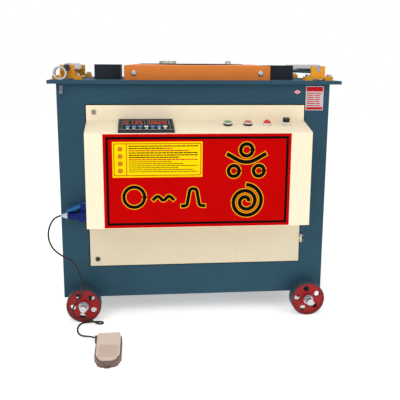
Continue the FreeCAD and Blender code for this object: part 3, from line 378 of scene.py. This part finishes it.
def knurled(name, centre):
    """Dark steel with ridges round an axis along Y."""
    made = Shader(name)
    x = made.maths("SUBTRACT", made.axis("X"), centre.x)
    z = made.maths("SUBTRACT", made.axis("Z"), centre.z)
    angle = made.maths("ARCTAN2", z, x)
    ridges = made.maths("SINE", made.maths("MULTIPLY", angle, 30))
    dark = rgb(92, 88, 100)
    tone = made.ramp(made.noise(90, 3), [(0.3, shade(dark, 0.6)), (0.7, dark)])
    normal = made.edges(0.0008)[0]
    made.set(Base_Color=tone, Metallic=0.6,
             Roughness=made.ramp(made.noise(60, 2), [(0.3, 0.38), (0.7, 0.55)]))
    made.bump(ridges, 0.8, 0.0008, normal)
    return made.material


def collar_plastic(name, split_x):
    """The push buttons' collars are black; the lamp's and the selector's are pale."""
    made = Shader(name)
    pale = made.past("X", split_x)
    speck = made.noise(60, 3)
    tone = made.mix(pale, made.ramp(speck, [(0.3, rgb(14, 14, 15)), (0.7, rgb(28, 28, 30))]),
                    made.ramp(speck, [(0.3, rgb(206, 200, 188)), (0.7, rgb(228, 222, 210))]))
    normal = made.edges(0.0008)[0]
    made.set(Base_Color=tone, Roughness=made.ramp(made.noise(50, 3), [(0.3, 0.26), (0.7, 0.36)]))
    made.bump(made.noise(600, 2), 0.1, 0.00015, normal)
    return made.material


def grooved_plastic(name, colour, groove, centre):
    """A moulded tread: pale ribs with painted shade in the grooves between them on the half towards the toe.
    """
    made = Shader(name)
    speck = made.noise(420, 3)
    tone = made.ramp(speck, [(0.3, shade(colour, 0.95)), (0.7, colour)])
    # Counted from ten ribs to the left, so that it stays above zero.
    along = made.maths("SUBTRACT", made.axis("X"), centre.x - 10 * RIB_PITCH)
    wave = made.maths("FRACT", made.maths("DIVIDE", along, RIB_PITCH))
    # The grooves between the ribs on the toe half are darkened: painted shade.
    line = made.ramp(wave, [(0.0, 1.0), (0.24, 0.0), (0.76, 0.0), (1.0, 1.0)])
    toe = made.short_of("Y", centre.y, 0.006)
    tone = made.mix(made.maths("MULTIPLY", line, toe), tone, groove)
    made.set(Base_Color=tone, Specular_IOR_Level=0.2, Roughness=made.ramp(speck, [(0.3, 0.45), (0.7, 0.56)]))
    made.bump(made.noise(420, 2), 0.3, 0.0003, made.edges(0.0008)[0])
    return made.material


def hinge_finish(name, split_x):
    """Plated barrels beside the door, and leaves painted with the cabinet."""
    made = Shader(name)
    leaf = made.past("X", split_x)
    speck = made.noise(70, 3)
    tone = made.mix(leaf, made.ramp(speck, [(0.3, rgb(170, 164, 150)), (0.7, rgb(214, 206, 190))]),
                    made.ramp(speck, [(0.3, rgb(36, 64, 80)), (0.7, rgb(48, 84, 102))]))
    made.set(Base_Color=tone, Roughness=made.ramp(made.noise(50, 3), [(0.3, 0.36), (0.7, 0.5)]))
    made.bump(made.noise(300, 2), 0.2, 0.0003, made.edges(0.0008)[0])
    return made.material


def print_ink(name, colour, rough=0.5):
    """Ink on a glossy foil: almost even colour with faint print mottle."""
    made = Shader(name)
    tone = made.ramp(made.noise(22, 4), [(0.3, shade(colour, 0.94)), (0.7, shade(colour, 1.03))])
    made.set(Base_Color=tone, Specular_IOR_Level=0.02,
             Roughness=made.ramp(made.noise(90, 3), [(0.3, rough - 0.04), (0.7, rough + 0.08)]))
    made.bump(made.noise(900, 2), 0.05, 0.0001)
    return made.material


def lens(name, colour):
    """Translucent moulded lens with fine flutes."""
    made = Shader(name)
    tone = made.ramp(made.noise(70, 2), [(0.3, shade(colour, 0.75)), (0.7, colour)])
    made.set(Base_Color=tone, Coat_Weight=0.6,
             Roughness=made.ramp(made.noise(50, 2), [(0.3, 0.12), (0.7, 0.2)]))
    made.bump(made.noise(500, 2), 0.12, 0.0002, made.edges(0.001)[0])
    return made.material


def glowing(name, colour, strength):
    """A lit segment of the display."""
    made = Shader(name)
    tone = made.ramp(made.noise(300, 2), [(0.3, shade(colour, 0.8)), (0.7, colour)])
    made.set(Base_Color=tone, Emission_Color=tone, Emission_Strength=strength, Roughness=0.4)
    return made.material


DOOR_CREAM = rgb(243, 229, 200)
DOOR_FINISH = {"rough": 0.45, "edge": 1.06, "grime": 0.05, "peel": 0.18, "gloss": 0.2}

MATERIALS = {
    "blue": painted("cabinet_enamel", rgb(42, 76, 93), rough=0.5, edge=1.5, gloss=0.12),
    "orange": painted("guard_enamel", rgb(229, 129, 50), edge=1.25, grime=0.12),
    "amber": painted("bracket_enamel", rgb(240, 165, 38), edge=1.2, grime=0.14),
    "cream": painted("door_enamel", DOOR_CREAM, **DOOR_FINISH),
    "cream_panel": painted("door_panel_enamel", DOOR_CREAM, shade_below=SHADE_BELOW_HEIGHT, **DOOR_FINISH),
    "machine": painted("machine_enamel", rgb(60, 92, 104), edge=1.5),
    "casting": painted("casting_enamel", rgb(52, 78, 84), rough=0.55, peel=0.9),
    "black_steel": blackened("blacked_steel"),
    "steel": metal("bare_steel", rgb(176, 178, 182), 0.34, (1, 8, 1)),
    "plated": metal("zinc_plate", rgb(200, 202, 206), 0.30, (3, 3, 3), stain=0.18),
    "pale_steel": metal("pin_steel", rgb(226, 222, 214), 0.34, (1, 1, 8), stain=0.12),
    "hook_steel": metal("hook_steel", rgb(132, 132, 142), 0.42, (3, 3, 3)),
    "aged": plastic("lock_aged", rgb(150, 140, 130), 0.42, 0.3, 300),
    "dark_lock": plastic("lock_dark", rgb(52, 50, 46), 0.42, 0.3, 300),
    "chrome": metal("polished_tube", rgb(222, 222, 230), 0.16, (1, 0.1, 1), scratch=0.08, stain=0.08),
    "bronze": metal("gear_bronze", rgb(176, 138, 84), 0.36),
    "rubber": plastic("matt_rubber", rgb(26, 26, 27), 0.55, 0.4, 300),
    "cable": plastic("cable_sheath", rgb(24, 24, 26), 0.42, 0.2, 500),
    "black": plastic("black_plastic", rgb(24, 24, 26), 0.3),
    "case": plastic("display_case", rgb(30, 31, 34), 0.42, 0.3),
    "green": lens("green_cap", rgb(40, 150, 92)),
    "red_cap": lens("red_cap", rgb(196, 24, 30)),
    "lamp": lens("lamp_lens", rgb(214, 26, 30)),
    "white": plastic("white_plastic", rgb(236, 234, 228), 0.3),
    "blue_plastic": plastic("plug_blue", rgb(5, 26, 104), 0.36, gloss=0.15),
    "grey_plastic": plastic("gland_grey", rgb(186, 196, 206), 0.4),
    "pedal": plastic("pedal_taupe", rgb(112, 94, 84), 0.5, 0.3, 420, gloss=0.2),
    "sign_red": print_ink("sign_red", rgb(186, 1, 1)),
    "ink_black": print_ink("ink_black", rgb(14, 8, 8)),
    "ink_gold": print_ink("ink_gold", rgb(236, 178, 20)),
    "ink_yellow": print_ink("ink_yellow", rgb(248, 208, 3)),
    "ink_brown": print_ink("ink_brown", rgb(170, 74, 16)),
    "plate_white": print_ink("plate_white", rgb(226, 222, 222)),
    "plate_grey": print_ink("plate_grey", rgb(196, 182, 184)),
    # A black sheet for the door's gap: painted shadow.
    "gap_shade_black": plastic("door_gap_shade", rgb(14, 14, 15), 0.6, 0.4, 300, gloss=0.1),
    "lid_blue": plastic("lid_blue", rgb(32, 90, 150), 0.36, gloss=0.2),
    "plate_red": print_ink("plate_red", rgb(186, 28, 34)),
    "screen": print_ink("screen", rgb(16, 18, 24), 0.12),
    "key_blue": print_ink("key_blue", rgb(96, 146, 206), 0.3),
    "digit": glowing("digit_red", rgb(226, 66, 48), 0.6),
}


def paint_node(name, material):
    slots = NODES[name].data.materials
    slots.clear()
    slots.append(material)


def paint_nodes():
    table = {
        "blue": ["table_plate", "cabinet_front_frame", "cabinet_left_side", "cabinet_right_side",
                 "cabinet_rear_panel", "base_frame"],
        "orange": ["guard_plate", "guard_brackets"],
        "amber": ["roller_brackets", "sleeve_holder"],
        "cream": ["console_box"], "cream_panel": ["door_panel"],
        "machine": ["motor_body"], "casting": ["gearbox_housing"],
        "black_steel": ["hole_strip_left", "hole_strip_right", "worm_pulley", "motor_pulley"],
        "steel": ["wheel_axles", "roller_shafts", "bearings", "pedal_pin", "main_shaft", "worm_shaft",
                  "motor_shaft"],
        "plated": ["axle_caps", "guard_bolts", "bracket_bolts"],
        "pale_steel": ["disc_pins", "bending_sleeve"], "hook_steel": ["cable_hook"],
        "aged": ["lock_upper"], "dark_lock": ["lock_lower"],
        "chrome": ["spare_sleeve", "roller_left", "roller_right"],
        "bronze": ["worm_wheel"], "rubber": ["drive_belts"], "cable": ["pedal_cable"],
        "black": ["mains_gland", "selector_knob"], "case": ["display_unit", "inverter"],
        "green": ["start_button"], "red_cap": ["stop_button"], "lamp": ["signal_lamp"],
        "blue_plastic": ["socket_housing", "plug_body"], "lid_blue": ["socket_lid"],
        "grey_plastic": ["plug_gland"],
        "pedal": ["pedal_base"],
    }
    for word, names in table.items():
        for name in names:
            paint_node(name, MATERIALS[word])
    paint_node("control_collars", collar_plastic("collar_plastic", COLLAR_SPLIT_X))
    paint_node("hinge_frame_halves", hinge_finish("hinge_finish", HINGE_SPLIT_X))
    paint_node("pedal_treadle", grooved_plastic("treadle_beige", rgb(224, 206, 192), rgb(178, 158, 146),
                                                middle_of("pedal_treadle")))
    paint_node("working_disc", turned_disc("turned_steel", middle_of("working_disc")))
    paint_node("clamp_knob", knurled("knurled_steel", middle_of("clamp_knob")))
    for end in ("front", "rear"):
        for side in ("left", "right"):
            name = "wheel_%s_%s" % (end, side)
            paint_node(name, wheel_paint(name + "_enamel", middle_of(name)))


# ---------------------------------------------------------------- mesh building

def finish_piece(name, made, body, material, smooth=False):
    """A piece from a built mesh, riding on a body."""
    bmesh.ops.recalc_face_normals(made, faces=made.faces)
    mesh = bpy.data.meshes.new(name)
    made.to_mesh(mesh)
    made.free()
    piece = bpy.data.objects.new(name, mesh)
    scene.collection.objects.link(piece)
    mesh.materials.append(material)
    if smooth:
        mesh.polygons.foreach_set("use_smooth", [True] * len(mesh.polygons))
    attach(piece, body)
    return piece


def skin(made, rings):
    """Four-sided faces between closed rings of points, each with the next."""
    for first, second in zip(rings, rings[1:]):
        for k in range(len(first)):
            n = (k + 1) % len(first)
            made.faces.new((first[k], first[n], second[n], second[k]))


def plates(name, outlines, thick, frame_of, body, material):
    """Flat shapes, each a ring of (across, up) points, stood off a face; frame_of maps (across, up, off)."""
    made = bmesh.new()
    for ring in outlines:
        back = [made.verts.new(frame_of(u, v, 0)) for u, v in ring]
        front = [made.verts.new(frame_of(u, v, thick)) for u, v in ring]
        made.faces.new(front)
        made.faces.new(back[::-1])
        skin(made, [back, front])
    return finish_piece(name, made, body, material)


def rectangle(u0, u1, v0, v1):
    return [(u0, v0), (u1, v0), (u1, v1), (u0, v1)]


def rounded(u0, u1, v0, v1, radius):
    """A rectangle with round corners."""
    steps = 5
    ring = []
    for cu, cv, start in ((u1 - radius, v0 + radius, -90), (u1 - radius, v1 - radius, 0),
                          (u0 + radius, v1 - radius, 90), (u0 + radius, v0 + radius, 180)):
        for k in range(steps + 1):
            angle = math.radians(start + 90 * k / steps)
            ring.append((cu + radius * math.cos(angle), cv + radius * math.sin(angle)))
    return ring


def border(u0, u1, v0, v1, line):
    """Four strips round a rectangle."""
    return [rectangle(u0, u1, v0, v0 + line), rectangle(u0, u1, v1 - line, v1),
            rectangle(u0, u0 + line, v0 + line, v1 - line), rectangle(u1 - line, u1, v0 + line, v1 - line)]


def bent_bar(points, width, bend=0.012, grow=0.0):
    """A ribbon of one width along straight runs with round bends, like the drawing of a bent bar."""
    corners = [Vector(point) for point in points]
    line = [corners[0] + (corners[0] - corners[1]).normalized() * grow]
    for before, here, after in zip(corners, corners[1:], corners[2:]):
        back, ahead = before - here, after - here
        reach = min(bend, back.length / 2, ahead.length / 2)
        enter, leave = here + back.normalized() * reach, here + ahead.normalized() * reach
        for k in range(8):
            t = k / 7
            line.append(enter * (1 - t) ** 2 + here * 2 * t * (1 - t) + leave * t * t)
    line.append(corners[-1] + (corners[-1] - corners[-2]).normalized() * grow)
    left, right = [], []
    for k, place in enumerate(line):
        along = line[min(k + 1, len(line) - 1)] - line[max(k - 1, 0)]
        side = Vector((-along.y, along.x)).normalized() * (width / 2 + grow)
        left.append(tuple(place + side))
        right.append(tuple(place - side))
    return [[left[k], right[k], right[k + 1], left[k + 1]] for k in range(len(line) - 1)]


def spiral(u, v, first, last, turns, steps=60):
    """Points of a flat spiral round (u, v)."""
    points = []
    for k in range(steps + 1):
        angle = 2 * math.pi * turns * k / steps
        radius = first + (last - first) * k / steps
        points.append((u + radius * math.cos(angle), v + radius * math.sin(angle)))
    return points


def lathe(name, profile, centre, axis, body, material, segments=48):
    """A turned piece: (radius, along) profile points spun about an axis through centre."""
    made = bmesh.new()
    turn = Vector((0, 0, 1)).rotation_difference(Vector(axis)).to_matrix()
    rings = []
    for radius, along in profile:
        ring = []
        for k in range(segments):
            angle = 2 * math.pi * k / segments
            local = Vector((radius * math.cos(angle), radius * math.sin(angle), along))
            ring.append(made.verts.new(centre + turn @ local))
        rings.append(ring)
    skin(made, rings + rings[:1])
    return finish_piece(name, made, body, material, smooth=True)


def front_face(y):
    """A face that looks forward, y in front of or behind the cabinet's front."""
    return lambda u, v, off: at(u, y - off, v)


def slope_face(off0=0.0):
    """The console's sloping lid: u across, v up the slope from the crease."""
    def point(u, v, off):
        along = -CONSOLE_DEPTH + v * math.cos(SLOPE) - (off + off0) * math.sin(SLOPE)
        return at(u, along, CREASE_Z + v * math.sin(SLOPE) + (off + off0) * math.cos(SLOPE))
    return point


# ---------------------------------------------------------------- printed plates on the console

def sign():
    face = CONSOLE_FACE
    plates("sign_plate", [rectangle(-0.317, 0.304, 0.352, 0.664)], 0.0008, front_face(face), "door",
           MATERIALS["sign_red"])
    plates("sign_line", border(-0.308, 0.295, 0.361, 0.655, 0.008), 0.0002, front_face(face - 0.0008), "door",
           MATERIALS["ink_black"])
    plates("label_field", [rectangle(-0.287, 0.007, 0.522, 0.639)], 0.0002, front_face(face - 0.0008), "door",
           MATERIALS["ink_yellow"])
    label_lines()
    bent_bars()


def label_lines():
    """Rounded frame, divider, rows of plain dashes and four ringed marks; no letters."""
    over = front_face(CONSOLE_FACE - 0.001)
    outer = rounded(-0.2830, 0.0030, 0.5270, 0.6340, 0.006)
    inner = rounded(-0.2804, 0.0004, 0.5296, 0.6314, 0.005)
    frame_line = [[outer[k], outer[(k + 1) % len(outer)], inner[(k + 1) % len(inner)], inner[k]]
                  for k in range(len(outer))]
    frame_line.append(rectangle(-0.2422, -0.2398, 0.5296, 0.6314))
    rows = []
    red_rows = []
    top = 0.6265
    for row in range(13):
        tall, pitch = (0.0034, 0.0074) if row < 7 else (0.0022, 0.0066)
        end = random.uniform(-0.095, -0.008) if row % 3 else -0.008
        u = -0.234
        while u < end:
            dash = random.uniform(0.005, 0.016)
            bars = red_rows if row in (2, 6) or (row == 1 and u > -0.13) else rows
            bars.append(rectangle(u, min(u + dash, end), top - tall, top))
            u += dash + 0.0015
        top -= pitch
    marks = []
    for step in range(4):
        v = 0.6155 - step * 0.0238
        marks += bent_bar(spiral(-0.2615, v, 0.0062, 0.0062, 1.0, 16), 0.0030, bend=0.001)
        marks.append(rectangle(-0.2650, -0.2580, v - 0.0022, v + 0.0022))
    plates("label_frame", frame_line, 0.0001, over, "door", MATERIALS["ink_brown"])
    plates("label_rows", rows, 0.0001, over, "door", MATERIALS["ink_black"])
    plates("label_red_rows", red_rows + marks, 0.0001, over, "door", MATERIALS["plate_red"])


# Plain drawings of bent bars and rollers, each as (points, width, bend).
BENT_BARS = [
    # A bar arched over two rollers by a third one from above.
    (spiral(0.112, 0.540, 0.018, 0.018, 1.0), 0.012, 0.001),
    (spiral(0.196, 0.540, 0.018, 0.018, 1.0), 0.012, 0.001),
    (spiral(0.154, 0.610, 0.020, 0.020, 1.0), 0.012, 0.001),
    ([(0.088, 0.598), (0.154, 0.560), (0.220, 0.598)], 0.013, 0.040),
    # A bar wound into a spiral.
    (spiral(0.154, 0.436, 0.010, 0.058, 2.25), 0.0125, 0.001),
    # A hoop, a wavy bar and a bar cranked up and down again.
    (spiral(-0.218, 0.456, 0.034, 0.034, 1.0), 0.011, 0.001),
    ([(-0.158, 0.444), (-0.140, 0.462), (-0.122, 0.440), (-0.104, 0.462), (-0.086, 0.444)], 0.011, 0.012),
    ([(-0.064, 0.424), (-0.044, 0.424), (-0.034, 0.482), (-0.012, 0.482), (-0.002, 0.424), (0.018, 0.424)],
     0.011, 0.010),
]


def bent_bars():
    """Drawings of bent bars on the sign, black with a gold edge."""
    gold, black = [], []
    for points, width, bend in BENT_BARS:
        gold += bent_bar(points, width, bend, grow=0.0024)
        black += bent_bar(points, width, bend)
    plates("mark_gold", gold, 0.0001, front_face(CONSOLE_FACE - 0.0008), "door",
           MATERIALS["ink_gold"])
    plates("mark_black", black, 0.0002, front_face(CONSOLE_FACE - 0.0009), "door",
           MATERIALS["ink_black"])


def cabinet_plates():
    """A rating plate and a small diamond badge on the cabinet's top right, without words."""
    over = front_face(0)
    plates("rating_plate", [rounded(0.380, 0.443, 0.731, 0.814, 0.002)], 0.0008, over, "machine",
           MATERIALS["plate_grey"])
    raised = front_face(-0.0008)
    bars = [rectangle(0.3825, 0.4405, 0.796, 0.8115), rectangle(0.3825, 0.4405, 0.7335, 0.742)]
    for row in range(7):
        top = 0.7915 - row * 0.0071
        middle = random.uniform(0.405, 0.415)
        bars.append(rectangle(0.3850, middle, top - 0.0030, top))
        bars.append(rectangle(middle + 0.003, random.uniform(0.428, 0.438), top - 0.0030, top))
    plates("rating_bars", bars, 0.0002, raised, "machine", MATERIALS["plate_red"])
    diamond = [(0.350, 0.7855), (0.3645, 0.794), (0.350, 0.8025), (0.3355, 0.794)]
    small = [(0.350, 0.7875), (0.361, 0.794), (0.350, 0.8005), (0.339, 0.794)]
    tiny = [(0.350, 0.7905), (0.3555, 0.794), (0.350, 0.7975), (0.3445, 0.794)]
    plates("badge_field", [diamond], 0.0007, over, "machine", MATERIALS["plate_white"])
    plates("badge_edge", [[diamond[k], diamond[(k + 1) % 4], small[(k + 1) % 4], small[k]] for k in range(4)]
           + [tiny], 0.0002, front_face(-0.0007), "machine", MATERIALS["plate_red"])


# ---------------------------------------------------------------- display and controls

SEGMENTS = {"0": "abcdef", "1": "bc", "2": "abged", "3": "abgcd", "5": "afgcd", "8": "abcdefg"}


def digit(u, v, wide, tall, text):
    """The lit bars of one seven-segment digit."""
    t = wide * 0.2
    half = tall / 2
    bars = {
        "a": rectangle(u + t, u + wide - t, v + tall - t, v + tall),
        "b": rectangle(u + wide - t, u + wide, v + half + t / 2, v + tall - t),
        "c": rectangle(u + wide - t, u + wide, v + t, v + half - t / 2),
        "d": rectangle(u + t, u + wide - t, v, v + t),
        "e": rectangle(u, u + t, v + t, v + half - t / 2),
        "f": rectangle(u, u + t, v + half + t / 2, v + tall - t),
        "g": rectangle(u + t, u + wide - t, v + half - t / 2, v + half + t / 2),
    }
    return [bars[key] for key in SEGMENTS[text]]


def display():
    low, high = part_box("display_unit")
    left, right = low.x, high.x
    unit = slope_face(0.008)
    bottom, top = 0.0005, 0.1165
    bezel = border(left + 0.001, right - 0.001, bottom + 0.001, top - 0.001, 0.006)
    plates("display_bezel", bezel, 0.0022, unit, "door", MATERIALS["case"])
    screen = rectangle(left + 0.008, right - 0.008, bottom + 0.008, top - 0.008)
    plates("display_screen", [screen], 0.0006, unit, "door", MATERIALS["screen"])
    over = slope_face(0.0086)
    lit = []
    for start, text in ((left + 0.022, "0135"), (left + 0.102, "0820")):
        for k, figure in enumerate(text):
            lit += digit(start + k * 0.0155, bottom + 0.068, 0.011, 0.028, figure)
    plates("display_digits", lit, 0.0002, over, "door", MATERIALS["digit"])
    frames = []
    for start in (left + 0.016, left + 0.096):
        frames += border(start, start + 0.072, bottom + 0.062, bottom + 0.102, 0.0008)
    frames += border(left + 0.012, right - 0.012, bottom + 0.012, bottom + 0.108, 0.0007)
    plates("display_rules", frames, 0.0001, over, "door", MATERIALS["grey_plastic"])
    keys, pale_keys = [], []
    for k in range(7):
        u = left + 0.024 + k * 0.0205
        ring = rounded(u, u + 0.014, bottom + 0.034, bottom + 0.046, 0.003)
        (pale_keys if k in (3, 6) else keys).append(ring)
        small = rounded(u + 0.003, u + 0.011, bottom + 0.018, bottom + 0.026, 0.002)
        (keys if k in (2, 4) else pale_keys).append(small)
    plates("display_keys", keys, 0.0009, over, "door", MATERIALS["key_blue"])
    plates("display_pale_keys", pale_keys, 0.0009, over, "door", MATERIALS["white"])
    trim = rectangle(left + 0.002, right - 0.002, bottom + 0.0045, bottom + 0.0075)
    plates("display_trim", [trim], 0.0026, unit, "door", MATERIALS["plated"])


CONTROLS = {"start": 0.101, "stop": 0.170, "lamp": 0.236, "selector": 0.3015}
COLLAR_TOP = {"start": 0.007, "stop": 0.007, "lamp": 0.006, "selector": 0.009}
# The rings' profiles, as (radius, height above the collar).
BUTTON_RING = [(0.0122, 0), (0.0148, 0), (0.0148, 0.0022), (0.0140, 0.0035), (0.0126, 0.0035),
               (0.0122, 0.003)]
RINGS = {
    "start": BUTTON_RING,
    "stop": BUTTON_RING,
    "lamp": [(0.0137, 0), (0.0149, 0), (0.0149, 0.0014), (0.0144, 0.0024), (0.0138, 0.0024)],
    "selector": [(0.0122, 0), (0.0146, 0), (0.0140, 0.0024), (0.0125, 0.0028)],
}


def control_rings():
    """White rings on the collars of the four controls, and the selector's pointer."""
    outward = Vector((0, -math.sin(SLOPE), math.cos(SLOPE)))
    slope = slope_face()
    for word, ring in RINGS.items():
        lathe(word + "_ring", [(radius, along + COLLAR_TOP[word]) for radius, along in ring],
              slope(CONTROLS[word], CONTROL_UP, 0), outward, "door", MATERIALS["white"])
    x = CONTROLS["selector"]
    pointer = rounded(x - 0.001, x + 0.001, CONTROL_UP - 0.001, CONTROL_UP + 0.011, 0.0009)
    plates("selector_pointer", [pointer], 0.0004, slope_face(0.0233), "selector",
           MATERIALS["white"])


def door_gap_shade():
    """A black frame in the gap round the door: painted shadow in that gap."""
    made = bmesh.new()
    inner = [(-0.3762, 0.1833), (0.3762, 0.1833), (0.3762, 0.7497), (-0.3762, 0.7497)]
    outer = [(-0.3788, 0.1807), (0.3788, 0.1807), (0.3788, 0.7523), (-0.3788, 0.7523)]
    rings = [[made.verts.new(at(x, y, z)) for x, z in ring]
             for ring, y in ((outer, 0.0045), (inner, 0.0035), (inner, 0.012), (outer, 0.012))]
    skin(made, rings + rings[:1])
    finish_piece("door_gap_shade", made, "machine", MATERIALS["gap_shade_black"])


def wheel_nuts():
    """A chamfered hexagon nut on each axle end, against the washer."""
    profile = [(0.0117, 0), (0.0155, 0), (0.0165, 0.001), (0.0165, 0.0085), (0.0150, 0.010), (0.0117, 0.010)]
    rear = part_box("axle_caps")[1].y
    for end, outward, start in (("front", -1, FRONT_Y - NUT_FRONT), ("rear", 1, rear - NUT_REAR)):
        for side in ("left", "right"):
            centre = middle_of("wheel_%s_%s" % (end, side))
            centre.y = start
            nut = lathe("nut_%s_%s" % (end, side), profile, centre, (0, outward, 0), "machine",
                        MATERIALS["plated"], segments=6)
            nut.data.polygons.foreach_set("use_smooth", [False] * len(nut.data.polygons))


def plug_ribs():
    """Grip rings on the plug, from its outer end."""
    ring = [(0.0129, 0), (0.0139, 0.0006), (0.0139, 0.0024), (0.0129, 0.003)]
    centre = middle_of("plug_body")
    centre.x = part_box("plug_body")[0].x
    for k in range(4):
        lathe("plug_rib_%d" % k, [(r, a + 0.003 + k * 0.006) for r, a in ring], centre, (1, 0, 0), "machine",
              MATERIALS["blue_plastic"])


def louvre_hoods():
    """A pressed hood above each slot of the rear panel."""
    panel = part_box("cabinet_rear_panel")[1].y
    made = bmesh.new()
    for column in (-1, 1):
        for step in range(9):
            x0, x1 = column * LOUVRE_COLUMN_X - LOUVRE_HALF, column * LOUVRE_COLUMN_X + LOUVRE_HALF
            z = LOUVRE_LOW + LOUVRE_PITCH * step
            back = [made.verts.new((x, panel, z + 0.015)) for x in (x0, x1)]
            crest = [made.verts.new((x, panel + 0.0085, z + 0.005)) for x in (x0 + 0.003, x1 - 0.003)]
            edge = [made.verts.new((x, panel + 0.0075, z + 0.002)) for x in (x0 + 0.003, x1 - 0.003)]
            inner = [made.verts.new((x, panel + 0.0070, z + 0.005)) for x in (x0 + 0.004, x1 - 0.004)]
            root = [made.verts.new((x, panel, z + 0.012)) for x in (x0 + 0.002, x1 - 0.002)]
            for first, second in ((back, crest), (crest, edge), (edge, inner), (inner, root), (root, back)):
                made.faces.new((first[0], first[1], second[1], second[0]))
            for k in (0, 1):
                made.faces.new([ring[k] for ring in (back, crest, edge, inner, root)])
    finish_piece("louvre_hoods", made, "machine", MATERIALS["blue"])


# ---------------------------------------------------------------- stage

def stage():
    mesh = bpy.data.meshes.new("floor")
    mesh.from_pydata([(-9, -9, 0), (9, -9, 0), (9, 9, 0), (-9, 9, 0)], [], [(0, 1, 2, 3)])
    floor = bpy.data.objects.new("floor", mesh)
    scene.collection.objects.link(floor)
    pale = Shader("pale_floor")
    tone = pale.ramp(pale.noise(1.5, 2), [(0.3, rgb(250, 250, 250)), (0.7, rgb(253, 253, 253))])
    pale.set(Base_Color=tone, Roughness=1.0, Emission_Color=tone, Emission_Strength=0.46)
    pale.surface.inputs["Specular IOR Level"].default_value = 0.0
    mesh.materials.append(pale.material)

    # A white backdrop that lights the object more softly than it shows.
    world = bpy.data.worlds.new("studio")
    world.use_nodes = True
    tree = world.node_tree
    shown = tree.nodes["Background"]
    shown.inputs["Color"].default_value = (1, 1, 1, 1)
    shown.inputs["Strength"].default_value = 1.0
    soft = tree.nodes.new("ShaderNodeBackground")
    soft.inputs["Color"].default_value = (1, 1, 1, 1)
    soft.inputs["Strength"].default_value = 0.62
    path = tree.nodes.new("ShaderNodeLightPath")
    blend = tree.nodes.new("ShaderNodeMixShader")
    tree.links.new(path.outputs["Is Camera Ray"], blend.inputs[0])
    tree.links.new(soft.outputs[0], blend.inputs[1])
    tree.links.new(shown.outputs[0], blend.inputs[2])
    tree.links.new(blend.outputs[0], tree.nodes["World Output"].inputs["Surface"])
    scene.world = world
    for name, place, aim, wide, power in (
            ("key", (-1.6, -3.0, 3.2), (0, 0, 0.5), 2.6, 52),
            ("fill", (2.6, -2.6, 1.8), (0, 0, 0.4), 2.6, 16),
            ("top", (0, 0.4, 3.6), (0, 0.2, 0.8), 2.4, 34)):
        data = bpy.data.lights.new(name, "AREA")
        data.energy = power
        data.size = wide
        light = bpy.data.objects.new(name, data)
        scene.collection.objects.link(light)
        light.location = place
        light.rotation_euler = (Vector(aim) - Vector(place)).to_track_quat("-Z", "Y").to_euler()
    scene.view_settings.view_transform = "Standard"


make_camera()
pedal_cable(MATERIALS["cable"])
paint_nodes()
sign()
cabinet_plates()
display()
control_rings()
door_gap_shade()
wheel_nuts()
plug_ribs()
louvre_hoods()
stage()
